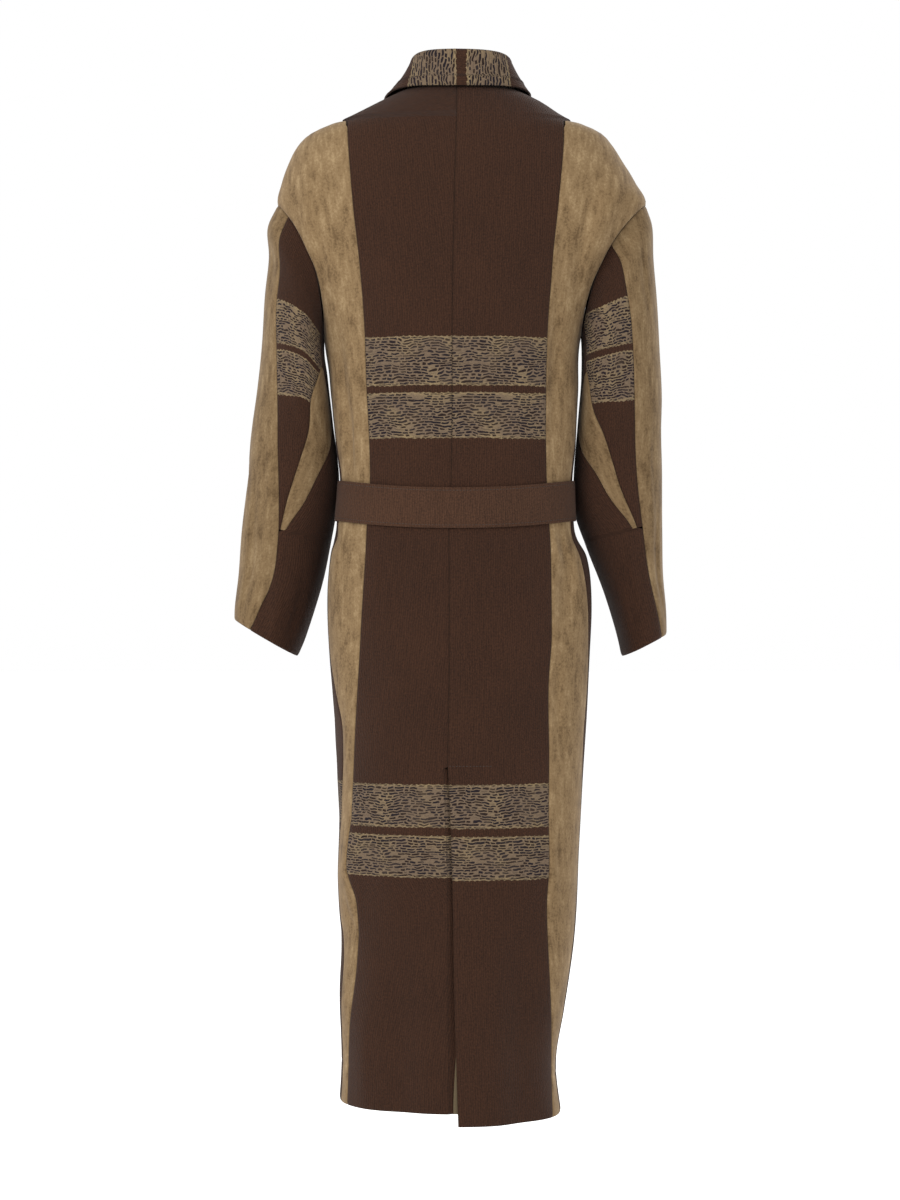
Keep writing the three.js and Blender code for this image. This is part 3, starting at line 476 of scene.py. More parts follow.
def crease_height(start, end, width, rise, x, z):
    """One crease along a line of a flat plane, steeper on one of its sides."""
    run = np.array(end, float) - np.array(start, float)
    length = np.hypot(*run)
    run /= length
    t = ((x - start[0]) * run[0] + (z - start[1]) * run[1]) / length
    bow = 0.045 * length * np.sin(np.pi * np.clip(t, 0, 1))
    aside = (x - start[0]) * run[1] - (z - start[1]) * run[0] + bow
    fade = np.sin(np.pi * np.clip(t, 0, 1)) ** 1.5
    steep = np.where(aside > 0, 0.7, 1.3)
    return rise * fade * np.exp(-((aside / (width * steep)) ** 2))


def body_creases(is_back, x, z):
    """How far the creases and the cloth's unevenness raise it."""
    height = np.zeros(np.shape(x))
    for face, top_x, top_z, bottom_x, bottom_z, width, rise in CREASES:
        crease = crease_height((top_x, top_z), (bottom_x, bottom_z), width, rise, x, z)
        height += np.where(is_back == (face == "back"), crease, 0)
    broad = np.sin(x / 23 + z / 71) * np.sin(z / 38 - x / 53)
    uneven = broad + 0.6 * np.sin(x / 11 - z / 87) * np.sin(z / 29)
    return height + 0.55 * uneven * smooth(NECK_Z, NECK_Z - 50, z)


def body_point(angle, z):
    """A point of the body: angle 0 is the left side and a quarter turn is the back."""
    angle, z = np.broadcast_arrays(np.asarray(angle, float), np.asarray(z, float))
    is_back = np.sin(angle) >= 0
    half_x = along_side(np.cos(angle), z)
    half_y = along_face(is_back, z)
    x = half_x * rounded(np.cos(angle), BODY_POWER)
    y = half_y * rounded(np.sin(angle), BODY_POWER)
    out = unit(np.stack([x / half_x ** 2, y / half_y ** 2, np.zeros(x.shape)], -1))
    raised = fold_height(is_back, x, z) + body_creases(is_back, x, z)
    return np.stack([x, y, z], -1) + out * raised[..., None]


def hang(side, rows):
    """The heights at which the rows of one side's panels hang."""
    return rows + HANG[side] * smooth(VENT_Z, HEM_Z, rows)


def body_normal(angle, z):
    """The way out of the body at a point."""
    safe = np.minimum(z, NECK_Z - 1)
    across = body_point(angle + 0.004, safe) - body_point(angle - 0.004, safe)
    up = body_point(angle, safe + 0.4) - body_point(angle, safe - 0.4)
    return unit(np.cross(across, up))


def angle_at(face, x, z):
    """The angle of a ring at which a face has a given x."""
    x, z = np.broadcast_arrays(np.asarray(x, float), np.asarray(z, float))
    share = np.minimum(np.abs(x) / along_side(x, z), 1)
    angle = np.arccos(share ** (BODY_POWER / 2))
    angle = np.where(x >= 0, angle, np.pi - angle)
    return angle if face == "back" else -angle


def armhole_point(side, angle):
    """A point of the armhole seam by its angle from the shoulder tip down the back."""
    sign = SIGN[side]
    top_x, bottom_x = ARMHOLE[side]
    share = (1 - np.cos(angle)) / 2
    dx = bottom_x - top_x
    dz = ARMHOLE_BOTTOM - ARMHOLE_TOP
    chord = math.hypot(dx, dz)
    pull = ARMHOLE_PULL * np.sin(angle) ** 2
    x = top_x + dx * share + dz / chord * pull
    z = ARMHOLE_TOP + dz * share - dx / chord * pull
    is_back = np.sin(angle) >= 0
    inside = np.maximum(1 - (x / along(BODY, LEFT if side == "left" else RIGHT, z)) ** BODY_POWER, 0)
    y = along_face(is_back, z) * inside ** (1 / BODY_POWER)
    return np.stack([sign * x, np.where(is_back, y, -y), z], -1)


def armhole_angle(side, z):
    """The angle at which the armhole seam crosses a height."""
    low = np.zeros(np.shape(z))
    high = np.full(np.shape(z), np.pi)
    for _ in range(30):
        middle = (low + high) / 2
        above = armhole_point(side, middle)[..., 2] > z
        low = np.where(above, middle, low)
        high = np.where(above, high, middle)
    return (low + high) / 2


def outer_edge(side, face, z):
    """The angle of a panel's outer edge: shoulder seam, armhole, then side seam."""
    z = np.asarray(z, float)
    behind = np.where(z < ARMHOLE_BOTTOM, along(SIDE_SEAMS[side], 1, z), 0) / along(BODY, BACK, z)
    angle = np.arcsin(np.maximum(behind, 0) ** (BODY_POWER / 2))
    if side == "right":
        angle = np.pi - angle if face == "back" else -np.pi - angle
    in_hole = (z < ARMHOLE_TOP - 0.01) & (z > ARMHOLE_BOTTOM + 0.01)
    hole_x = armhole_point(side, armhole_angle(side, z))[..., 0]
    return np.where(in_hole, angle_at(face, hole_x, z), angle)


def back_wool_outer(side, z):
    """Where the back's wool meets the suede; it leaves the shoulder seam over a short run."""
    z = np.asarray(z, float)
    shoulder = outer_edge(side, "back", np.maximum(z, ARMHOLE_TOP))
    column = SEAM_LEFT if side == "left" else SEAM_RIGHT
    seam = angle_at("back", SIGN[side] * along(BACK_SEAMS, column, z), z)
    run = np.clip((YOKE_Z - z) / YOKE_RUN, 0, 1)
    return shoulder + (seam - shoulder) * run


def centre_seam(z):
    """The centre back seam, down to the vent."""
    return angle_at("back", along(BACK_SEAMS, SEAM_CENTRE, np.maximum(z, VENT_Z)), z)


def flap_edge(z):
    """x of the vent's upper flap."""
    return along(FLAP_EDGE, 1, z)


def underlap_x(z, share):
    """x of a point of the underlap, from its step behind the flap to its end."""
    under = flap_edge(z) + along(VENT_STRIP, 1, z) - UNDERLAP_STEP
    return under + (UNDERLAP_END - under) * share


def front_edge(side, z):
    """x of a front's free edge."""
    past = along(FRONT_EDGE, 1, z)
    return -SIGN[side] * past


def sleeve_point(side, angle, ring):
    """A point of a sleeve: angle 0 is its outer line and a quarter turn is the back."""
    angle, ring = np.broadcast_arrays(np.asarray(angle, float), np.asarray(ring, float))
    sign = SIGN[side]
    rows = SLEEVES[side]
    outer_x, outer_z, inner_x, inner_z, depth, forward, pull = (
        along(rows, column, ring) for column in range(OUTER_X, PULL + 1))
    dx = inner_x - outer_x
    dz = inner_z - outer_z
    chord = np.hypot(dx, dz)
    pull = np.maximum(pull, 0) * np.sin(angle) ** 2
    power = np.where(ring < 1, 2 + (SLEEVE_POWER - 2) * ring, SLEEVE_POWER)
    share = (1 - rounded(np.cos(angle), power)) / 2
    x = outer_x + dx * share + dz / chord * pull
    z = outer_z + dz * share - dx / chord * pull
    seam_share = 1 - smooth(0, 1.2, ring)
    free_y = depth * rounded(np.sin(angle), power) - forward
    y = free_y + (armhole_point(side, angle)[..., 1] - free_y) * seam_share
    away = ARMHOLE_GAP * (1 - smooth(0, 1, ring))
    point = np.stack([sign * (x - dz / chord * away), y, z + dx / chord * away], -1)
    centre = np.stack([sign * (outer_x + inner_x) / 2, -forward, (outer_z + inner_z) / 2], -1)
    out = point - centre
    out[..., 2] *= 0.25
    return point + unit(out) * sleeve_creases(side, angle, ring)[..., None]


def sleeve_creases(side, angle, ring):
    """How far the creases raise a sleeve's cloth."""
    turned = (angle + np.pi) % (2 * np.pi) - np.pi
    height = np.zeros(np.shape(angle))
    for where, start_degrees, start_ring, end_degrees, end_ring, width, rise in SLEEVE_CREASES:
        if where == side:
            start = (math.radians(start_degrees) * SLEEVE_RADIUS, -start_ring * RING_STEP)
            end = (math.radians(end_degrees) * SLEEVE_RADIUS, -end_ring * RING_STEP)
            height += crease_height(start, end, width, rise, turned * SLEEVE_RADIUS, -ring * RING_STEP)
    uneven = 0.5 * np.sin(angle * 3 + ring * 0.9) * np.sin(ring * 1.7 - angle)
    return (height + uneven) * smooth(0.1, 1, ring)


def sleeve_normal(side, angle, ring):
    """The way out of a sleeve at a point."""
    inside = np.clip(ring, 0.06, LAST_RING - 0.06)
    across = sleeve_point(side, angle + 0.01, inside) - sleeve_point(side, angle - 0.01, inside)
    up = sleeve_point(side, angle, inside - 0.05) - sleeve_point(side, angle, inside + 0.05)
    return unit(np.cross(across, up)) * SIGN[side]


# Laying out a panel

EDGE_COLUMNS = (0.9, 2.0, 3.6)
SAMPLES = 240

# A distance from any seam at which no shade is painted
FAR = 9.0


def lay_out(surface, levels, first, last, cell, gap):
    """Angles of a panel's points, even along the cloth and closer at its two sides.

    Gives the angles, and each point's way from the first and from the last side.
    """
    share = np.linspace(0, 1, SAMPLES + 1)
    angles = first[:, None] + (last - first)[:, None] * share
    reached = run_along(surface(angles, levels[:, None]), 1)
    widest = reached[:, -1].max()
    inner = max(int(round((widest - 2 * EDGE_COLUMNS[-1]) / cell)), 2)
    laid = np.empty((len(levels), inner + 1 + 2 * len(EDGE_COLUMNS)))
    from_first = np.empty(laid.shape)
    from_last = np.empty(laid.shape)
    for i, row in enumerate(reached):
        width = row[-1] - gap
        squeeze = min(1, width / (4 * EDGE_COLUMNS[-1]))
        start = np.array((0,) + EDGE_COLUMNS[:-1]) * squeeze
        low = EDGE_COLUMNS[-1] * squeeze
        middle = np.linspace(low, width - low, inner + 1)
        wanted = np.concatenate([start, middle, width - start[::-1]])
        laid[i] = np.interp(wanted + gap / 2, row, angles[i])
        from_first[i] = wanted
        from_last[i] = width - wanted
    return laid, from_first, from_last


def drawn_in(depth, first_way, last_way, seams):
    """How far the cloth is drawn in towards the seams at its two sides."""
    dip = np.zeros(first_way.shape)
    for way, sewn in zip((first_way, last_way), seams):
        reach = 1.5 if sewn else 0.8
        dip += depth * (1 if sewn else 0.35) * np.exp(-((way / reach) ** 2))
    return dip


def deselect():
    """Nothing is selected or being edited."""
    if bpy.context.mode != "OBJECT":
        bpy.ops.object.mode_set(mode="OBJECT")
    bpy.ops.object.select_all(action="DESELECT")


def only(obj):
    """Only one object is selected, and it is the active one."""
    deselect()
    obj.select_set(True)
    bpy.context.view_layer.objects.active = obj


def keep_applied(obj, kind, **settings):
    """Adds a modifier and applies it."""
    only(obj)
    modifier = obj.modifiers.new(kind.lower(), kind)
    for name, value in settings.items():
        setattr(modifier, name, value)
    bpy.ops.object.modifier_apply(modifier=modifier.name)


def cloth(name, points, outward, uv, seam_way, thickness, missing=None, even=True):
    """A wall of cloth from a grid of outer points in millimetres, made from one flat grid."""
    rows, columns = points.shape[:2]
    deselect()
    bpy.ops.mesh.primitive_grid_add(x_subdivisions=columns - 1, y_subdivisions=rows - 1, size=2)
    obj = bpy.context.object
    obj.name = name
    mesh = obj.data
    mesh.name = name
    flat = np.empty(len(mesh.vertices) * 3)
    mesh.vertices.foreach_get("co", flat)
    flat = flat.reshape(-1, 3)
    j = np.rint((flat[:, 0] + 1) / 2 * (columns - 1)).astype(int)
    i = np.rint((1 - flat[:, 1]) / 2 * (rows - 1)).astype(int)
    if len(flat) != rows * columns:
        raise RuntimeError(f"{name}: the grid has {len(flat)} points and not {rows * columns}")
    mesh.vertices.foreach_set("co", (points[i, j] * MM).ravel())
    corners = np.empty(len(mesh.loops), int)
    mesh.loops.foreach_get("vertex_index", corners)
    mesh.uv_layers[0].name = "cloth"
    mesh.uv_layers[0].uv.foreach_set("vector", (uv[i, j] * MM)[corners].ravel())
    # Distance from the nearest seam; the materials paint shade into the colour close to it
    seam = mesh.attributes.new("seam", "FLOAT", "POINT")
    seam.data.foreach_set("value", seam_way[i, j] * MM)
    mesh.update()
    facing = np.empty(len(mesh.vertices) * 3)
    mesh.vertices.foreach_get("normal", facing)
    if (facing.reshape(-1, 3) * outward[i, j]).sum() < 0:
        mesh.flip_normals()
    if missing is not None:
        gone = missing(mesh, i, j)
        mesh.polygons.foreach_set("select", gone)
        mesh.vertices.foreach_set("select", np.zeros(len(mesh.vertices), bool))
        mesh.edges.foreach_set("select", np.zeros(len(mesh.edges), bool))
        bpy.ops.object.mode_set(mode="EDIT")
        bpy.ops.mesh.select_mode(type="FACE")
        bpy.ops.mesh.delete(type="FACE")
        bpy.ops.object.mode_set(mode="OBJECT")
    keep_applied(obj, "SOLIDIFY", thickness=thickness, offset=-1, use_even_offset=even)
    keep_applied(obj, "BEVEL", width=0.0004, segments=2, limit_method="ANGLE", angle_limit=math.radians(50))
    only(obj)
    bpy.ops.object.shade_smooth_by_angle(angle=math.radians(60))
    return obj


def sewn_on(obj, finish, node):
    obj.data.materials.append(finish)
    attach(obj, "root")
    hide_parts(node)
    return obj


def body_levels(top, bottom):
    """Heights of a body panel's rows between two levels, close together where seams turn."""
    cell = bpy.context.scene.coat_sizes.cell / MM
    holes = armhole_point("left", np.radians(np.arange(5, 180, 5)))[:, 2]
    stops = (NECK_Z, YOKE_Z, YOKE_Z - 1, YOKE_Z - 2, YOKE_Z - YOKE_RUN, ARMHOLE_TOP)
    stops_below = (ARMHOLE_BOTTOM, -510, VENT_Z + 2, VENT_Z, HEM_LINE_Z + 4, HEM_LINE_Z, HEM_LINE_Z - 4,
                   HEM_Z + 3, HEM_Z + 1, HEM_Z)
    levels = [stops[0]]
    for group in (stops, stops_below):
        for above, below in zip(group, group[1:]):
            count = max(int(round((above - below) / cell)), 1)
            levels.extend(np.linspace(above, below, count + 1)[1:])
        if group is stops:
            levels.extend(holes)
            levels.append(ARMHOLE_BOTTOM)
    levels = np.array(levels)
    return levels[(levels <= top) & (levels >= bottom)]


def body_panel(side, rows, first, last, seams, inward=None):
    """Points, way out, cloth co-ordinates and seam distance of one panel of the body."""
    sizes = bpy.context.scene.coat_sizes
    levels = hang(side, rows)
    angles, way_first, way_last = lay_out(
        body_point, levels, first, last, sizes.cell / MM, sizes.seam_gap / MM)
    heights = np.broadcast_to(levels[:, None], angles.shape)
    cut = np.broadcast_to(rows[:, None], angles.shape)
    points = body_point(angles, heights)
    outward = body_normal(angles, heights)
    dip = drawn_in(sizes.seam_dip / MM, way_first, way_last, seams)
    hem = 0.9 * np.exp(-(((cut - HEM_Z) / 2.0) ** 2))
    hem_line = 0.5 * np.exp(-(((cut - HEM_LINE_Z) / 1.6) ** 2))
    dip = dip + hem + hem_line
    if inward is not None:
        dip = dip + inward(points, heights)
    points = points - outward * dip[..., None]
    uv = np.stack([way_first, cut], -1)
    return points, outward, uv, np.minimum(way_first, way_last)


# Shader nodes

class Wiring:
    """Short calls that add and join the nodes of one tree."""

    def __init__(self, tree):
        self.tree = tree

    def node(self, kind, inputs=None, **settings):
        made = self.tree.nodes.new(kind)
        for name, value in settings.items():
            setattr(made, name, value)
        for name, value in (inputs or {}).items():
            self.put(made.inputs[name], value)
        return made

    def put(self, socket, value):
        """Links a socket to another one, or gives it a value."""
        if isinstance(value, bpy.types.NodeSocket):
            self.tree.links.new(value, socket)
        elif value is not None:
            socket.default_value = value

    def math(self, operation, *values, clamp=False):
        made = self.node("ShaderNodeMath", operation=operation, use_clamp=clamp)
        for socket, value in zip(made.inputs, values):
            self.put(socket, value)
        return made.outputs[0]

    def between(self, value, low, high, to_low=0.0, to_high=1.0):
        """A soft step from to_low to to_high as the value goes from low to high."""
        made = self.node(
            "ShaderNodeMapRange",
            {"Value": value, "From Min": low, "From Max": high, "To Min": to_low, "To Max": to_high},
            interpolation_type="SMOOTHSTEP")
        return made.outputs["Result"]

    def mix(self, share, first, second):
        made = self.node("ShaderNodeMix", data_type="RGBA")
        for socket, value in ((made.inputs[0], share), (made.inputs[6], first), (made.inputs[7], second)):
            if isinstance(value, tuple):
                value = (*value, 1.0)
            self.put(socket, value)
        return made.outputs[2]

    def point(self, x, y, z=0.0):
        return self.node("ShaderNodeCombineXYZ", {"X": x, "Y": y, "Z": z}).outputs[0]

    def noise(self, vector, scale, detail=2.0, roughness=0.5):
        made = self.node(
            "ShaderNodeTexNoise",
            {"Vector": vector, "Scale": scale, "Detail": detail, "Roughness": roughness})
        return made.outputs[0]

    def chance(self, x, y):
        """A number from 0 to 1 that differs from cell to cell."""
        return self.node("ShaderNodeTexWhiteNoise", {"Vector": self.point(x, y)}).outputs["Value"]

    def group(self, tree, **inputs):
        made = self.node("ShaderNodeGroup", node_tree=tree)
        for name, value in inputs.items():
            self.put(made.inputs[name.replace("_", " ")], value)
        return made


def new_group(name, inputs, outputs):
    """An empty node group with float sockets, and its input and output nodes."""
    tree = bpy.data.node_groups.new(name, "ShaderNodeTree")
    for label, default in inputs:
        socket = tree.interface.new_socket(label, in_out="INPUT", socket_type="NodeSocketFloat")
        socket.default_value = default
    for label in outputs:
        tree.interface.new_socket(label, in_out="OUTPUT", socket_type="NodeSocketFloat")
    wiring = Wiring(tree)
    entry = wiring.node("NodeGroupInput")
    leave = wiring.node("NodeGroupOutput")
    return tree, wiring, entry.outputs, leave.inputs


def twill_group():
    """Ribbed twill: its tone and its relief."""
    tree, w, given, out = new_group(
        "ribbed twill", [("Along", 0), ("Up", 0), ("Rib", 0.0028)], ["Tone", "Relief"])
    place = w.point(given["Along"], given["Up"])
    sway = w.math("MULTIPLY", w.math("SUBTRACT", w.noise(place, 60), 0.5), 1.6)
    turns = w.math("ADD", w.math("DIVIDE", given["Along"], given["Rib"]), sway)
    rib = w.math("MULTIPLY_ADD", w.math("SINE", w.math("MULTIPLY", turns, 2 * math.pi)), 0.5, 0.5)
    slant = w.math("MULTIPLY_ADD", given["Up"], 900, w.math("MULTIPLY", given["Along"], 1500))
    thread = w.math("MULTIPLY_ADD", w.math("SINE", slant), 0.5, 0.5)
    streak = w.noise(w.point(given["Along"], w.math("MULTIPLY", given["Up"], 0.1)), 420, 3.0)
    fleck = w.noise(place, 430, 3.0, 0.7)
    cloud = w.noise(place, 9, 3.0)
    tone = w.math("MULTIPLY_ADD", streak, 0.22, w.math("MULTIPLY", fleck, 0.7))
    tone = w.math("MULTIPLY_ADD", rib, 0.09, tone)
    tone = w.math("MULTIPLY_ADD", w.math("SUBTRACT", cloud, 0.5), 0.15, tone)
    w.put(out["Tone"], w.between(tone, 0.24, 0.8))
    relief = w.math("MULTIPLY_ADD", rib, 0.5, w.math("MULTIPLY", thread, 0.2))
    w.put(out["Relief"], w.math("MULTIPLY_ADD", fleck, 1.1, relief))
    return tree


def dash_group():
    """Dashes woven in wavy rows: where they are, their tint and their relief."""
    tree, w, given, out = new_group(
        "woven dashes", [("Along", 0), ("Up", 0), ("Row", 0.0033), ("Dash", 0.0094)],
        ["Dashes", "Tint", "Relief"])
    place = w.point(given["Along"], given["Up"])
    broad = w.math("MULTIPLY", w.math("SUBTRACT", w.noise(place, 30, 1.0), 0.5), 0.0105)
    fine = w.math("MULTIPLY", w.math("SUBTRACT", w.noise(place, 110, 1.0), 0.5), 0.0042)
    level = w.math("DIVIDE", w.math("ADD", given["Up"], w.math("ADD", broad, fine)), given["Row"])
    row = w.math("FLOOR", level)
    in_row = w.math("ABSOLUTE", w.math("SUBTRACT", w.math("FRACT", level), 0.5))
    row_chance = w.chance(row, 7.3)
    drift = w.math("MULTIPLY", w.math("SUBTRACT", w.noise(place, 55, 1.0), 0.5), 1.8)
    turn = w.math("ADD", w.math("DIVIDE", given["Along"], given["Dash"]), w.math("MULTIPLY", row, 0.5))
    turn = w.math("ADD", turn, w.math("MULTIPLY_ADD", row_chance, 0.5, drift))
    cell = w.math("FLOOR", turn)
    in_cell = w.math("ABSOLUTE", w.math("SUBTRACT", w.math("FRACT", turn), 0.5))
    luck = w.chance(cell, row)
    size = w.chance(w.math("ADD", cell, 31.7), row)
    half = w.math("MULTIPLY_ADD", size, 0.26, 0.32)
    near_end = w.math("SUBTRACT", in_cell, half)
    long_enough = w.between(near_end, -0.12, 0.03, 1.0, 0.0)
    thick = w.math("MULTIPLY_ADD", luck, 0.12, 0.24)
    near_side = w.math("SUBTRACT", in_row, thick)
    thick_enough = w.between(near_side, -0.09, 0.06, 1.0, 0.0)
    there = w.between(luck, 0.05, 0.12)
    patch = w.between(w.noise(place, 26, 2.0), 0.32, 0.55, 0.84, 1.0)
    whole = w.math("MULTIPLY", long_enough, thick_enough)
    dashes = w.math("MULTIPLY", whole, w.math("MULTIPLY", there, patch))
    w.put(out["Dashes"], dashes)
    w.put(out["Tint"], w.chance(cell, w.math("ADD", row, 13.3)))
    bump = w.math("SUBTRACT", 1.0, w.math("MULTIPLY", in_row, 1.2))
    w.put(out["Relief"], w.math("SUBTRACT", bump, w.math("MULTIPLY", dashes, 0.55)))
    return tree


def band_group():
    """One band with scalloped edges: where it is, and how near its edges are."""
    tree, w, given, out = new_group(
        "band", [("Along", 0), ("Up", 0), ("Top", 0), ("Bottom", 0)], ["Inside", "Edge"])
    place = w.point(given["Along"], given["Up"])
    sway = w.math("MULTIPLY", w.noise(w.point(given["Along"], given["Top"]), 40, 1.0), 9.0)
    scallop = w.math("ABSOLUTE", w.math("SINE", w.math("MULTIPLY_ADD", given["Along"], 420, sway)))
    wave = w.math("MULTIPLY", w.math("SUBTRACT", w.noise(place, 28, 1.0), 0.5), 0.0035)
    bite = w.math("MULTIPLY_ADD", scallop, 0.0011, wave)
    below_top = w.math("SUBTRACT", w.math("SUBTRACT", given["Top"], given["Up"]), bite)
    above_bottom = w.math("SUBTRACT", w.math("SUBTRACT", given["Up"], given["Bottom"]), bite)
    nearest = w.math("MINIMUM", below_top, above_bottom)
    w.put(out["Inside"], w.between(nearest, -0.0002, 0.0003))
    w.put(out["Edge"], w.between(nearest, 0.0006, 0.0048, 1.0, 0.0))
    return tree


def nap_group():
    """Suede nap: mottled and streaked tone, and fine relief."""
    tree, w, given, out = new_group("suede nap", [("Along", 0), ("Up", 0)], ["Tone", "Relief"])
    place = w.point(given["Along"], given["Up"])
    cloud = w.noise(place, 8, 3.0, 0.6)
    streak = w.noise(w.point(given["Along"], w.math("MULTIPLY", given["Up"], 0.22)), 130, 4.0, 0.65)
    patch = w.noise(w.point(given["Along"], w.math("MULTIPLY", given["Up"], 0.7)), 52, 4.0, 0.65)
    fleck = w.noise(place, 330, 3.0, 0.7)
    tone = w.math("MULTIPLY_ADD", cloud, 0.35, w.math("MULTIPLY", patch, 0.6))
    tone = w.math("MULTIPLY_ADD", streak, 0.55, tone)
    tone = w.math("MULTIPLY_ADD", fleck, 0.5, tone)
    w.put(out["Tone"], w.between(tone, 0.66, 1.34))
    relief = w.math("MULTIPLY_ADD", fleck, 0.7, w.math("MULTIPLY", patch, 0.5))
    w.put(out["Relief"], w.math("MULTIPLY_ADD", streak, 0.4, relief))
    return tree


GROUPS = {}


def shared(name, maker):
    """A node group that is built once."""
    if name not in GROUPS:
        GROUPS[name] = maker()
    return GROUPS[name]


def bare_material(name):
    """A material, its wiring and its shader."""
    material = bpy.data.materials.new(name)
    material.use_nodes = True
    return material, Wiring(material.node_tree), material.node_tree.nodes["Principled BSDF"]


def cloth_material(name):
    """A material, its wiring, its shader and the cloth's two co-ordinates."""
    material, w, shader = bare_material(name)
    uv = w.node("ShaderNodeUVMap", uv_map="cloth").outputs[0]
    parts = w.node("ShaderNodeSeparateXYZ", {"Vector": uv}).outputs
    return material, w, shader, parts["X"], parts["Y"]


def shaded(colour, share):
    """A colour made darker or lighter."""
    return tuple(share * level for level in colour)


def bump(w, shader, relief, strength, distance):
    """Feeds a relief to the shader's normal."""
    made = w.node("ShaderNodeBump", {"Height": relief, "Strength": strength, "Distance": distance})
    w.put(shader.inputs["Normal"], made.outputs[0])


def painted_seam_shade(w, colour, strength=0.34):
    """Paints shade into a colour: darker in the groove at a seam."""
    way = w.node("ShaderNodeAttribute", attribute_name="seam").outputs["Fac"]
    share = w.between(way, 0.0, 0.0016, strength, 0.0)
    # The near-black brown is the painted shade in the seam's groove
    return w.mix(share, colour, (0.008, 0.005, 0.003))


def wool_material(name, bands, colour_name="wool"):
    """Ribbed wool, with woven bands at the given heights."""
    colours = bpy.context.scene.coat_colours
    material, w, shader, u, v = cloth_material(name)
    twill = w.group(shared("twill", twill_group), Along=u, Up=v)
    base = tuple(getattr(colours, colour_name))
    lighter = tuple(colours.wool_light) if colour_name == "wool" else shaded(base, 1.7)
    colour = w.mix(twill.outputs["Tone"], shaded(base, 0.5), lighter)
    relief = twill.outputs["Relief"]
    rough = w.between(twill.outputs["Tone"], 0.0, 1.0, 0.86, 0.97)
    if bands:
        dashes = w.group(shared("dashes", dash_group), Along=u, Up=v)
        inside = edge = None
        for top, bottom in bands:
            band = w.group(shared("band", band_group), Along=u, Up=v, Top=top * MM, Bottom=bottom * MM)
            nearby = w.math("MULTIPLY", band.outputs["Inside"], band.outputs["Edge"])
            within = band.outputs["Inside"]
            inside = within if inside is None else w.math("MAXIMUM", inside, within)
            edge = nearby if edge is None else w.math("MAXIMUM", edge, nearby)
        cloud = w.noise(w.point(u, v), 30, 2.0)
        warm = w.math("MULTIPLY_ADD", edge, 0.6, w.between(cloud, 0.42, 0.7, 0.0, 0.5), clamp=True)
        ground = w.mix(warm, tuple(colours.band), tuple(colours.band_edge))
        yarn = w.noise(w.point(w.math("MULTIPLY", u, 0.3), v), 900, 2.0)
        ground = w.mix(w.between(yarn, 0.3, 0.7, 0.0, 0.4), ground, (0.06, 0.045, 0.035))
        dash_colour = w.mix(
            w.between(dashes.outputs["Tint"], 0.45, 0.8), tuple(colours.dash), tuple(colours.dash_warm))
        thin = w.math("MULTIPLY", dashes.outputs["Dashes"], w.between(edge, 0.6, 1.0, 1.0, 0.5))
        banded = w.mix(thin, ground, dash_colour)
        colour = w.mix(inside, colour, banded)
        band_relief = w.math("MULTIPLY_ADD", dashes.outputs["Relief"], 1.5, 0.6)
        spread = w.node("ShaderNodeMix", data_type="FLOAT")
        w.put(spread.inputs[0], inside)
        w.put(spread.inputs[2], relief)
        w.put(spread.inputs[3], band_relief)
        relief = spread.outputs[0]
    # Painted shade darkens the wool's colour in the grooves at its seams
    w.put(shader.inputs["Base Color"], painted_seam_shade(w, colour))
    w.put(shader.inputs["Roughness"], rough)
    shader.inputs["Sheen Weight"].default_value = 0.03
    shader.inputs["Sheen Roughness"].default_value = 0.5
    shader.inputs["Specular IOR Level"].default_value = 0.1
    bump(w, shader, relief, 0.8, 0.0009)
    return material


def suede_material(name, shade):
    """Mottled tan suede with a soft nap; a shade below 1 darkens it."""
    colours = bpy.context.scene.coat_colours
    material, w, shader, u, v = cloth_material(name)
    nap = w.group(shared("nap", nap_group), Along=u, Up=v)
    low, plain, high = (
        shaded(tint, shade) for tint in (colours.suede_dark, colours.suede, colours.suede_light))
    dark = w.mix(w.between(nap.outputs["Tone"], 0.0, 0.55), low, plain)
    colour = w.mix(w.between(nap.outputs["Tone"], 0.5, 1.0), dark, high)
    # Painted shade darkens the suede's colour in the grooves at its seams
    w.put(shader.inputs["Base Color"], painted_seam_shade(w, colour, 0.22))
    w.put(shader.inputs["Roughness"], w.between(nap.outputs["Tone"], 0.0, 1.0, 0.9, 1.0))
    shader.inputs["Sheen Weight"].default_value = 0.08
    shader.inputs["Sheen Roughness"].default_value = 0.4
    shader.inputs["Specular IOR Level"].default_value = 0.08
    bump(w, shader, nap.outputs["Relief"], 0.5, 0.0007)
    return material


def facing_material():
    """Khaki twill with its slanted ribs."""
    colours = bpy.context.scene.coat_colours
    material, w, shader, u, v = cloth_material("facing twill")
    slanted = w.math("MULTIPLY_ADD", v, 0.8, u)
    twill = w.group(shared("twill", twill_group), Along=slanted, Up=v, Rib=0.0014)
    base = tuple(colours.facing)
    colour = w.mix(twill.outputs["Tone"], shaded(base, 0.6), shaded(base, 1.3))
    w.put(shader.inputs["Base Color"], colour)
    w.put(shader.inputs["Roughness"], w.between(twill.outputs["Tone"], 0.0, 1.0, 0.7, 0.85))
    bump(w, shader, twill.outputs["Relief"], 0.5, 0.0003)
    return material


def thread_material():
    """Sewing thread with a faint twist."""
    colours = bpy.context.scene.coat_colours
    material, w, shader = bare_material("sewing thread")
    place = w.node("ShaderNodeTexCoord").outputs["Object"]
    twist = w.noise(place, 1400, 1.0)
    base = tuple(colours.thread)
    w.put(shader.inputs["Base Color"], w.mix(twist, shaded(base, 0.6), shaded(base, 1.5)))
    w.put(shader.inputs["Roughness"], w.between(twist, 0.0, 1.0, 0.55, 0.75))
    bump(w, shader, twist, 0.3, 0.0002)
    return material


# Pieces

def faces_gone(mesh, test):
    """Which faces of a grid a test on their corners' places takes away."""
    return [bool(test(np.array(face.vertices))) for face in mesh.polygons]


def joined(first, second, axis=1):
    """Two laid out stretches of one panel as one."""
    return [np.concatenate(pair, axis) for pair in zip(first, second)]


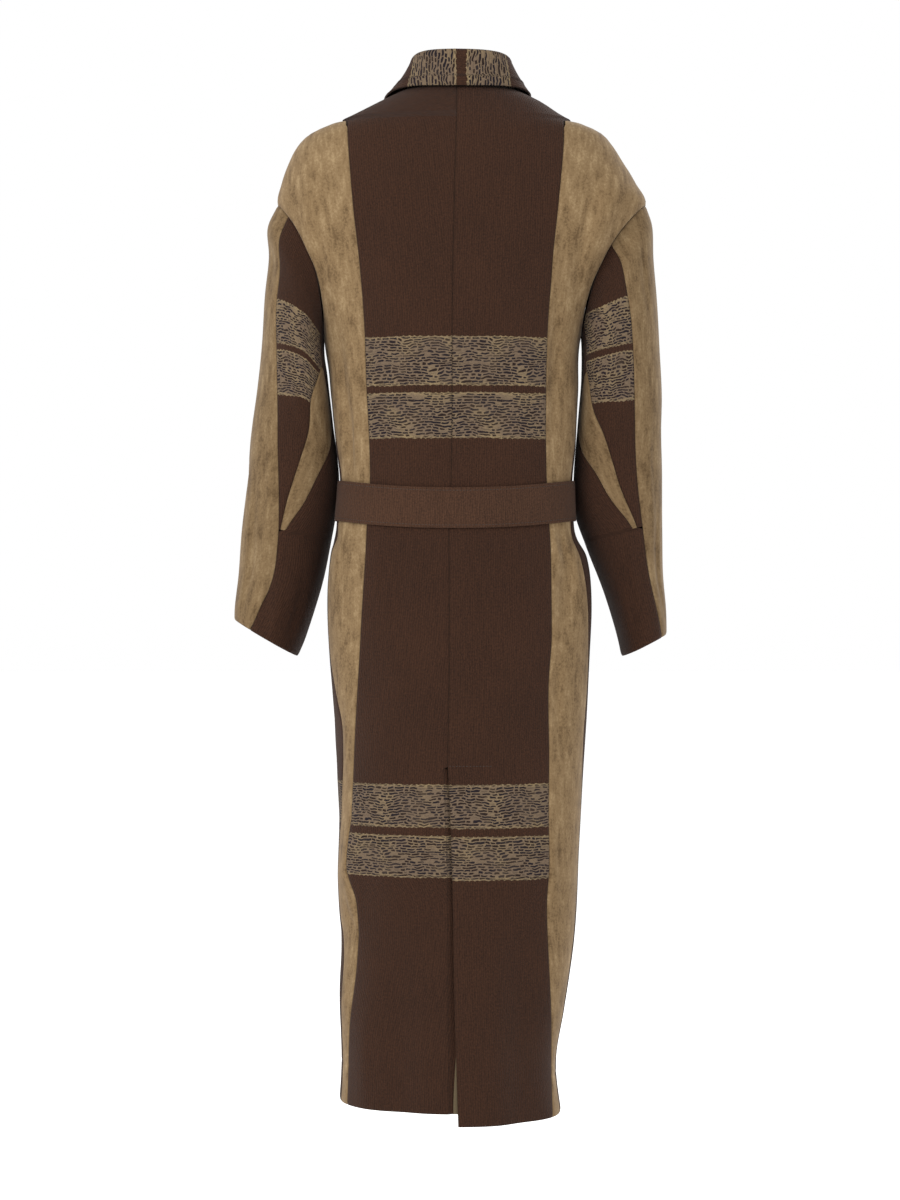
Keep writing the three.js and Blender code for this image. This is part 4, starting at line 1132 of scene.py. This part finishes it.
def back_left():
    """The left back with the underlap of the vent, which steps in behind the flap."""
    rows = body_levels(NECK_Z, HEM_Z)
    levels = hang("left", rows)
    crease = angle_at("back", flap_edge(levels) + along(VENT_STRIP, 1, levels), levels)
    centre = np.where(levels > VENT_Z + 1, centre_seam(levels), crease)
    points, outward, uv, way = body_panel(
        "left", rows, back_wool_outer("left", levels), centre, (True, True))
    main = points.shape[1]
    below = np.minimum(levels, VENT_Z)[:, None]
    share = np.array((0, 0.15, 0.4, 0.7, 1.0))[None, :]
    angle = angle_at("back", underlap_x(below, share), below)
    normal = body_normal(angle, np.broadcast_to(below, angle.shape))
    lap = body_point(angle, below) - normal * UNDERLAP_DEPTH
    lap_uv = uv[:, -1:, :] + np.stack(
        [np.broadcast_to(3 + 46 * share, angle.shape), np.zeros(angle.shape)], -1)
    laid = joined((points, outward, uv, way), (lap, normal, lap_uv, np.full(angle.shape, FAR)))

    def above_vent(mesh, i, j):
        return faces_gone(mesh, lambda at: min(j[at]) >= main - 1 and max(rows[i[at]]) > VENT_Z + 1)

    return cloth("back_left_wool_cloth", *laid, bpy.context.scene.coat_sizes.wool, above_vent)


ALLOWANCE = (6.0, 1.2)


def back_right():
    """The right back with the vent's upper flap, and its seam allowance under the left back."""
    sizes = bpy.context.scene.coat_sizes
    rows = body_levels(NECK_Z, HEM_Z)
    levels = hang("right", rows)
    flap = angle_at("back", flap_edge(levels), levels)
    centre = np.where(levels > VENT_Z + 1, centre_seam(levels), flap)
    points, outward, uv, way = body_panel(
        "right", rows, centre, back_wool_outer("right", levels), (True, True))
    middle = along(BACK_SEAMS, SEAM_CENTRE, np.maximum(levels, VENT_Z))[:, None]
    angle = angle_at("back", middle + np.array(ALLOWANCE), levels[:, None])
    heights = np.broadcast_to(levels[:, None], angle.shape)
    normal = body_normal(angle, heights)
    under = body_point(angle, heights) - normal * (sizes.wool / MM + 2 * sizes.seam_dip / MM)
    under_uv = uv[:, :1, :] - np.stack(
        [np.broadcast_to(np.array(ALLOWANCE), angle.shape), np.zeros(angle.shape)], -1)
    laid = joined((under, normal, under_uv, np.zeros(angle.shape)), (points, outward, uv, way))
    last = len(ALLOWANCE)

    def below_seam(mesh, i, j):
        return faces_gone(mesh, lambda at: max(j[at]) <= last and min(rows[i[at]]) < VENT_Z + 1)

    return cloth("back_right_wool_cloth", *laid, sizes.wool, below_seam)


class COAT_OT_backs(bpy.types.Operator):
    """Makes the two wool back panels and the vent between them"""
    bl_idname = "coat.backs"
    bl_label = "Wool backs"

    def execute(self, context):
        wool = wool_material("banded wool", BODY_BANDS)
        for side, make, width, area in (("left", back_left, 0.18, 0.172), ("right", back_right, 0.16, 0.156)):
            sewn_on(make(), wool, f"back_{side}_wool")
        return {"FINISHED"}


class COAT_OT_strips(bpy.types.Operator):
    """Makes the suede strips that run from each shoulder to the hem"""
    bl_idname = "coat.strips"
    bl_label = "Suede back strips"

    def execute(self, context):
        suede = suede_material("napped suede", 1.0)
        rows = body_levels(YOKE_Z - 1, HEM_Z)
        for side, area in (("left", 0.077), ("right", 0.085)):
            levels = hang(side, rows)
            ease = np.where(levels > YOKE_Z - 2 * YOKE_RUN, -SIGN[side] * YOKE_EASE, 0)
            laid = body_panel(
                side, rows, back_wool_outer(side, levels) + ease, outer_edge(side, "back", levels),
                (True, True))
            obj = cloth(f"back_{side}_suede_strip", *laid, context.scene.coat_sizes.suede)
            sewn_on(obj, suede, f"back_{side}_suede")
        return {"FINISHED"}


class COAT_OT_fronts(bpy.types.Operator):
    """Makes the two wrapping fronts"""
    bl_idname = "coat.fronts"
    bl_label = "Wool fronts"

    def execute(self, context):
        wool = wool_material("banded wool of the fronts", BODY_BANDS)
        rows = body_levels(NECK_Z, HEM_Z)
        for side, area in (("left", 0.345), ("right", 0.356)):
            levels = hang(side, rows)
            free = angle_at("front", front_edge(side, levels), levels)

            def inward(points, heights):
                beyond = points[..., 0] - front_edge("right", heights)
                step = WRAP_DEPTH * (1 - smooth(WRAP_EDGE, WRAP_EDGE + WRAP_RAMP, beyond))
                return np.where(heights > WRAP_TOP, 0, step)

            laid = body_panel(
                side, rows, outer_edge(side, "front", levels), free, (True, False),
                inward if side == "left" else None)
            obj = cloth(f"front_{side}_wool_cloth", *laid, context.scene.coat_sizes.wool)
            sewn_on(obj, wool, f"front_{side}_wool")
        return {"FINISHED"}


def sleeve_uv(side, points, way):
    """Cloth co-ordinates on a sleeve, in which its bands are level."""
    lines = SLEEVE_BAND_LINES[side]
    x = np.abs(points[..., 0])
    top = along(lines, 1, x)
    bottom = along(lines, 2, x)
    whole = SLEEVE_BANDS[0][0] - SLEEVE_BANDS[1][1]
    level = (points[..., 2] - top) / (top - bottom) * whole
    return np.stack([way, level], -1)


ARMHOLE_ALLOWANCE = 5.0


def sleeve_panel(name, side, rings, first, last, seams, thickness):
    """One cloth piece of a sleeve between two seams given in degrees.

    At the armhole its seam allowance goes on a little, under the body's cloth.
    """
    sizes = bpy.context.scene.coat_sizes

    def surface(angle, ring):
        return sleeve_point(side, angle, ring)

    angles, way_first, way_last = lay_out(
        surface, rings, np.radians(first), np.radians(last), sizes.cell / MM, sizes.seam_gap / MM)
    levels = np.broadcast_to(rings[:, None], angles.shape)
    points = surface(angles, levels)
    outward = sleeve_normal(side, angles, levels)
    dip = drawn_in(sizes.seam_dip / MM, way_first, way_last, seams)
    dip = dip + 0.8 * np.exp(-(((LAST_RING - levels) * RING_STEP / 2.5) ** 2))
    dip = dip + 0.7 * np.exp(-((levels * RING_STEP / 2.5) ** 2))
    points = points - outward * dip[..., None]
    uv = sleeve_uv(side, points, way_first)
    way = np.minimum(np.minimum(way_first, way_last), levels * RING_STEP)
    if rings[0] == 0:
        into = unit(surface(angles[:1], levels[:1]) - surface(angles[:1], levels[:1] + 0.12))
        depth = (sizes.wool + sizes.seam_dip) / MM
        under = points[:1] + into * ARMHOLE_ALLOWANCE - outward[:1] * depth
        beyond = (under, outward[:1], uv[:1] + np.array((0, ARMHOLE_ALLOWANCE)), way[:1])
        points, outward, uv, way = joined(beyond, (points, outward, uv, way), 0)
    return cloth(name, points, outward, uv, way, thickness)


def sleeve_rings(top, bottom):
    """Rings of a sleeve's rows between two rings, closer at its two ends."""
    step = bpy.context.scene.coat_sizes.cell / MM / RING_STEP
    rings = np.linspace(top, bottom, max(int(round((bottom - top) / step)), 2) + 1)
    extra = [ring for ring in (0.03, 0.06, LAST_RING - 0.06, LAST_RING - 0.03) if top < ring < bottom]
    return np.unique(np.concatenate([rings, extra]))


class COAT_OT_sleeves(bpy.types.Operator):
    """Makes both sleeves: outer strip, banded back, leaf gusset and under side"""
    bl_idname = "coat.sleeves"
    bl_label = "Sleeves"

    def execute(self, context):
        sizes = context.scene.coat_sizes
        wool = wool_material("banded wool of the sleeves", SLEEVE_BANDS)
        plain = wool_material("plain wool of the sleeves", ())
        suede = suede_material("napped suede of the sleeves", 0.84)
        whole = sleeve_rings(0, LAST_RING)
        upper = sleeve_rings(0, LEAF_BOTTOM)
        leaf = sleeve_rings(LEAF_TOP, LEAF_BOTTOM)
        front = np.full(whole.shape, float(STRIP_FRONT))
        for side in ("left", "right"):
            seams = SLEEVE_SEAMS[side]
            strip = along(seams, STRIP_SEAM, whole)
            start = along(seams, BACK_SEAM, upper)
            start = np.where(upper < LEAF_TOP, start, along(seams, LEAF_START, upper))
            under = np.where(whole < LEAF_TOP, along(seams, BACK_SEAM, whole), along(seams, LEAF_END, whole))
            under = np.where(whole > LEAF_BOTTOM, strip, under)
            pieces = (
                ("strip", whole, front, strip, sizes.suede, suede, "suede", (0.10, 0.53), 0.048),
                ("back", upper, along(seams, STRIP_SEAM, upper), start, sizes.wool, wool, "wool",
                 (0.09, 0.38), 0.0158),
                ("gusset", leaf, along(seams, LEAF_START, leaf), along(seams, LEAF_END, leaf),
                 sizes.suede, suede, "suede", (0.055, 0.24), 0.0074),
                ("under", whole, under, 360 + front, sizes.wool, plain, "wool", (0.22, 0.53), 0.0933),
            )
            for name, rings, first, last, thickness, finish, slot, flat, area in pieces:
                obj = sleeve_panel(
                    f"sleeve_{side}_{name}_cloth", side, rings, first, last, (True, True), thickness)
                sewn_on(obj, finish, f"sleeve_{side}_{name}")
        return {"FINISHED"}


def neck_place(at):
    """Angle and height of the neckline at a share of it: 0 is the centre back, 1 or -1 a lapel's end."""
    share = np.abs(at)
    down = np.maximum(share - COLLAR_BACK_SHARE, 0) / (1 - COLLAR_BACK_SHARE)
    z = NECK_Z + (COLLAR_END_Z - NECK_Z) * down
    left = at >= 0
    end = np.where(
        left, angle_at("front", front_edge("left", z), z), angle_at("front", front_edge("right", z), z))
    back = np.where(left, np.pi / 2, -np.pi * 3 / 2)
    return np.where(share >= COLLAR_BACK_SHARE, end, back + (end - back) * share / COLLAR_BACK_SHARE), z


def outside(points):
    """Above zero outside the body's rings and below zero inside them."""
    x, y, z = (points[..., n] for n in range(3))
    return ((np.abs(x) / along_side(x, z)) ** BODY_POWER
            + (np.abs(y) / along_face(y >= 0, z)) ** BODY_POWER - 1)


def clear_of_body(points, clearance):
    """Keeps points of the collar's fall clear of the body below them."""
    moved = points.copy()
    for _ in range(4):
        here = outside(moved)
        slope = np.stack([outside(moved + step) - here for step in np.eye(3)], -1)
        size = np.linalg.norm(slope, axis=-1)
        short = clearance - here / size
        push = np.where((moved[..., 2] < NECK_Z) & (short > 0), short, 0)
        moved = moved + slope / size[..., None] * push[..., None]
    return moved


def collar_middle(at):
    """Middle lines of the collar's sections: up the stand, over the roll and down the fall."""
    angle, z = neck_place(at)
    base = body_point(angle, z)
    normal = body_normal(angle, z)
    before = body_point(*neck_place(at - 0.02))
    after = body_point(*neck_place(at + 0.02))
    out = unit(np.cross(normal, unit(after - before)))
    column = {name: along(COLLAR, name, np.abs(at))[:, None] for name in range(INSET, UPRIGHT + 1)}
    up = unit(normal * (1 - column[UPRIGHT]) + np.array((0, 0, 1)) * column[UPRIGHT])
    level = unit(out - up * (out * up).sum(-1, keepdims=True))
    wool = bpy.context.scene.coat_sizes.wool / MM
    start = base - normal * wool / 2 - out * column[INSET]
    stand, lean = column[STAND], column[LEAN]
    lines = []
    for t in np.linspace(0, 1, STAND_LINES):
        lines.append(start - level * lean * t + up * stand * t)
    for turn in np.radians(np.arange(20, 161, 20)):
        lines.append(start + level * (-lean + COLLAR_ROLL * (1 - np.cos(turn)))
                     + up * (stand + COLLAR_ROLL * np.sin(turn)))
    fold_start = start + level * (2 * COLLAR_ROLL - lean) + up * stand
    fold_end = base + out * column[FALL] + normal * column[LIFT]
    for t in np.linspace(0, 1, 16):
        lines.append(clear_of_body(fold_start + (fold_end - fold_start) * t, column[LIFT][:, 0] * 0.8))
    return np.stack(lines, 1)


class COAT_OT_collar(bpy.types.Operator):
    """Makes the collar, stand and fall in one, with a welt above its edge"""
    bl_idname = "coat.collar"
    bl_label = "Collar"

    def execute(self, context):
        sizes = context.scene.coat_sizes
        at = np.linspace(-1, 1, 161)
        middle = collar_middle(at)
        across = np.gradient(middle, axis=0)
        up = np.gradient(middle, axis=1)
        outward = unit(np.cross(across, up))
        down = run_along(middle, 1)
        left_over = down[:, -1:] - down
        welt = 0.9 * np.exp(-(((left_over - COLLAR_WELT) / 1.6) ** 2))
        points = middle + outward * (sizes.wool / MM / 2 + welt)[..., None]
        run = run_along(middle[:, ROLL_LINE, :])
        run = run - np.interp(0, at, run)
        shifted = np.where(left_over < COLLAR_WELT, 21.0, 0.0)
        uv = np.stack([down + shifted, np.broadcast_to(run[:, None], down.shape)], -1)
        obj = cloth("collar_cloth", points, outward, uv, np.full(down.shape, FAR), sizes.wool, even=False)
        wool = wool_material("banded wool of the collar", COLLAR_BANDS)
        sewn_on(obj, wool, "collar")
        return {"FINISHED"}


def belt_surface(angle, share):
    """A point of the belt's outer face, its way out and how far round it is; share 0 is its top edge."""
    dip = BELT_BACK_DIP * np.maximum(np.sin(angle), 0) ** 2
    z = BELT_SIDE_TOP - dip - BELT_HEIGHT * share
    lift = BELT_LIFT * smooth(2 * np.pi - 0.3, 2 * np.pi, angle - BELT_START)
    normal = body_normal(angle, z)
    base = body_point(angle, z)
    wool = bpy.context.scene.coat_sizes.wool / MM
    crown = BELT_CROWN * (1 - np.abs(2 * share - 1) ** 4)
    at_back = np.sin(angle) > 0.5
    join = np.where(at_back, 1.1 * np.exp(-(((base[..., 0] - BELT_JOIN_X) / 1.3) ** 2)), 0)
    out = BELT_CLEAR + lift + wool + crown - join
    return base + normal * out[..., None], normal


def stitched(name, places, ways, ups, thread):
    """Rows of stitches as one mesh: each is a small rounded bar along its way."""
    sizes = bpy.context.scene.coat_sizes
    deselect()
    bpy.ops.mesh.primitive_uv_sphere_add(segments=6, ring_count=4, radius=1)
    pattern = bpy.context.object
    bar = np.array([vertex.co[:] for vertex in pattern.data.vertices])
    faces = [tuple(face.vertices) for face in pattern.data.polygons]
    scale = np.array((0.38, 0.38, sizes.stitch / MM / 2))
    bar = bar * scale
    vertices = []
    joined = []
    for place, way, up in zip(places, ways, ups):
        side = np.cross(way, up)
        start = len(vertices)
        vertices.extend((place + bar[:, :1] * side + bar[:, 1:2] * up + bar[:, 2:] * way) * MM)
        joined.extend(tuple(start + corner for corner in face) for face in faces)
    mesh = bpy.data.meshes.new(name)
    mesh.from_pydata([tuple(vertex) for vertex in vertices], [], joined)
    bpy.data.objects.remove(pattern)
    obj = bpy.data.objects.new(name, mesh)
    bpy.context.collection.objects.link(obj)
    mesh.materials.append(thread)
    only(obj)
    bpy.ops.object.mode_set(mode="EDIT")
    bpy.ops.mesh.select_all(action="SELECT")
    bpy.ops.mesh.normals_make_consistent(inside=False)
    bpy.ops.object.mode_set(mode="OBJECT")
    bpy.ops.object.shade_smooth()
    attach(obj, "root")
    return obj


def along_line(points, pitch):
    """Places along a line of points, evenly apart, each with its way along the line."""
    run = run_along(points)
    wanted = np.arange(pitch / 2, run[-1], pitch)
    places = np.stack([np.interp(wanted, run, points[:, n]) for n in range(3)], -1)
    ahead = np.stack([np.interp(wanted + 0.5, run, points[:, n]) for n in range(3)], -1)
    behind = np.stack([np.interp(wanted - 0.5, run, points[:, n]) for n in range(3)], -1)
    return wanted / run[-1], places, unit(ahead - behind)


class COAT_OT_belt(bpy.types.Operator):
    """Makes the belt, whose end lies over its start, with its edge stitching"""
    bl_idname = "coat.belt"
    bl_label = "Belt"

    def execute(self, context):
        sizes = context.scene.coat_sizes
        turn = 2 * np.pi + BELT_OVERLAP
        angles = BELT_START + turn * np.linspace(0, 1, 281)
        shares = np.array((0, 0.02, 0.05, 0.09, 0.16, 0.28, 0.4, 0.5, 0.6, 0.72, 0.84, 0.91, 0.95, 0.98, 1.0))
        grid_angle, grid_share = np.meshgrid(angles, shares)
        points, outward = belt_surface(grid_angle, grid_share)
        run = run_along(points[BELT_MIDDLE_LINE])
        uv = np.stack([np.broadcast_to(run, grid_share.shape), -BELT_HEIGHT * grid_share], -1)
        way = np.full(grid_share.shape, FAR)
        obj = cloth("belt_cloth", points, outward, uv, way, sizes.wool + 0.0002)
        wool = wool_material("wool of the belt", (), "belt")
        sewn_on(obj, wool, "belt")
        thread = thread_material()
        rows = []
        for share in (0.075, 0.925):
            line, _ = belt_surface(angles, np.full(angles.shape, share))
            where, places, ways = along_line(line, sizes.stitch / MM + 1)
            _, ups = belt_surface(BELT_START + turn * where, np.full(where.shape, share))
            rows.append((places, ways, ups))
        places, ways, ups = (np.concatenate(parts) for parts in zip(*rows))
        stitched("belt_stitching", places, ways, ups, thread)
        return {"FINISHED"}


class COAT_OT_vent(bpy.types.Operator):
    """Makes the facing that shows in the vent and the stitches across the vent's top"""
    bl_idname = "coat.vent"
    bl_label = "Vent facing and stitching"

    def execute(self, context):
        sizes = context.scene.coat_sizes
        levels = hang("left", np.linspace(FACING_TOP, HEM_Z, 25))[:, None]
        opened = smooth(FACING_TOP, HEM_Z, levels)
        first = 0.14 - 0.12 * opened
        shares = first + (0.45 - first) * np.linspace(0, 1, 6)[None, :]
        angle = angle_at("back", underlap_x(levels, shares), levels)
        heights = np.broadcast_to(levels, angle.shape)
        outward = body_normal(angle, heights)
        lift = -UNDERLAP_DEPTH + 0.3 + sizes.facing / MM
        points = body_point(angle, heights) + outward * lift
        uv = np.stack([points[..., 0], heights], -1)
        obj = cloth("vent_facing_cloth", points, outward, uv, np.full(angle.shape, FAR), sizes.facing)
        sewn_on(obj, facing_material(), "vent_facing")
        x = np.linspace(8, -42, 60)
        across = angle_at("back", x, np.full(x.shape, float(VENT_Z)))
        line = body_point(across, np.full(x.shape, float(VENT_Z + 3)))
        where, places, ways = along_line(line, sizes.stitch / MM + 1)
        turned = np.interp(where, np.linspace(0, 1, len(x)), across)
        ups = body_normal(turned, np.full(where.shape, VENT_Z + 3.0))
        stitched("vent_stitching", places, ways, ups, bpy.data.materials["sewing thread"])
        return {"FINISHED"}


CAMERA_AWAY = 3.6
CAMERA_SIDE = 0.0061
CAMERA_Z = -0.598
FRAME_HEIGHT = 1.464
SENSOR = 24
FLOOR_Z = -1.42
FLOOR_SIZE = 60


class COAT_OT_stage(bpy.types.Operator):
    """Makes the floor, the lights and the camera"""
    bl_idname = "coat.stage"
    bl_label = "Stage"

    def execute(self, context):
        deselect()
        bpy.ops.mesh.primitive_plane_add(size=FLOOR_SIZE, location=(0, 0, FLOOR_Z))
        floor = context.object
        floor.name = "studio_floor"
        material, _, shader = bare_material("studio floor")
        shader.inputs["Base Color"].default_value = (*context.scene.coat_colours.floor, 1)
        shader.inputs["Roughness"].default_value = 0.9
        shader.inputs["Emission Color"].default_value = (1, 1, 1, 1)
        shader.inputs["Emission Strength"].default_value = 0.18
        floor.data.materials.append(material)
        world = bpy.data.worlds.new("studio")
        world.use_nodes = True
        world.node_tree.nodes["Background"].inputs["Color"].default_value = (1, 1, 1, 1)
        world.node_tree.nodes["Background"].inputs["Strength"].default_value = 1.0
        context.scene.world = world
        context.scene.view_settings.view_transform = "Standard"
        lights = (
            ("key", (1.9, 2.6, 1.1), 1.4, 80),
            ("fill", (-2.4, 2.0, 0.3), 2.4, 16),
            ("front key", (-1.9, -2.6, 1.1), 1.4, 70),
            ("front fill", (2.4, -2.0, 0.3), 2.4, 16),
        )
        for name, place, size, power in lights:
            lamp = bpy.data.lights.new(name, "AREA")
            lamp.size = size
            lamp.energy = power
            obj = bpy.data.objects.new(name, lamp)
            context.collection.objects.link(obj)
            obj.location = place
            towards = np.array((0, 0, -0.55)) - np.array(place)
            flat = math.hypot(towards[0], towards[1])
            obj.rotation_euler = (
                math.atan2(flat, -towards[2]), 0, math.atan2(towards[1], towards[0]) - math.pi / 2)
        camera = bpy.data.cameras.new("camera")
        camera.sensor_fit = "VERTICAL"
        camera.sensor_height = SENSOR
        camera.lens = SENSOR * CAMERA_AWAY / FRAME_HEIGHT
        obj = bpy.data.objects.new("camera", camera)
        context.collection.objects.link(obj)
        obj.location = (CAMERA_SIDE, CAMERA_AWAY, CAMERA_Z)
        obj.rotation_euler = (math.pi / 2, 0, math.pi)
        context.scene.camera = obj
        return {"FINISHED"}


STEPS = ("backs", "strips", "fronts", "sleeves", "collar", "belt", "vent", "stage")


class COAT_PT_panel(bpy.types.Panel):
    """Lists the steps of making the coat"""
    bl_idname = "COAT_PT_panel"
    bl_label = "Patchwork coat"
    bl_space_type = "VIEW_3D"
    bl_region_type = "UI"
    bl_category = "Coat"

    def draw(self, context):
        for group in (context.scene.coat_sizes, context.scene.coat_colours):
            for name in group.__annotations__:
                self.layout.prop(group, name)
        for step in STEPS:
            self.layout.operator(f"coat.{step}")


CLASSES = (
    CoatSizes, CoatColours, COAT_OT_backs, COAT_OT_strips, COAT_OT_fronts, COAT_OT_sleeves, COAT_OT_collar,
    COAT_OT_belt, COAT_OT_vent, COAT_OT_stage, COAT_PT_panel,
)


def register():
    """Adds the classes and the scene's settings."""
    for each in CLASSES:
        bpy.utils.register_class(each)
    bpy.types.Scene.coat_sizes = bpy.props.PointerProperty(type=CoatSizes)
    bpy.types.Scene.coat_colours = bpy.props.PointerProperty(type=CoatColours)


def unregister():
    """Takes the classes and the scene's settings out again."""
    del bpy.types.Scene.coat_colours
    del bpy.types.Scene.coat_sizes
    for each in reversed(CLASSES):
        bpy.utils.unregister_class(each)


def main():
    """Makes the coat and its stage."""
    register()
    for step in STEPS:
        getattr(bpy.ops.coat, step)()
    bpy.context.view_layer.update()


if __name__ == "__main__":
    main()
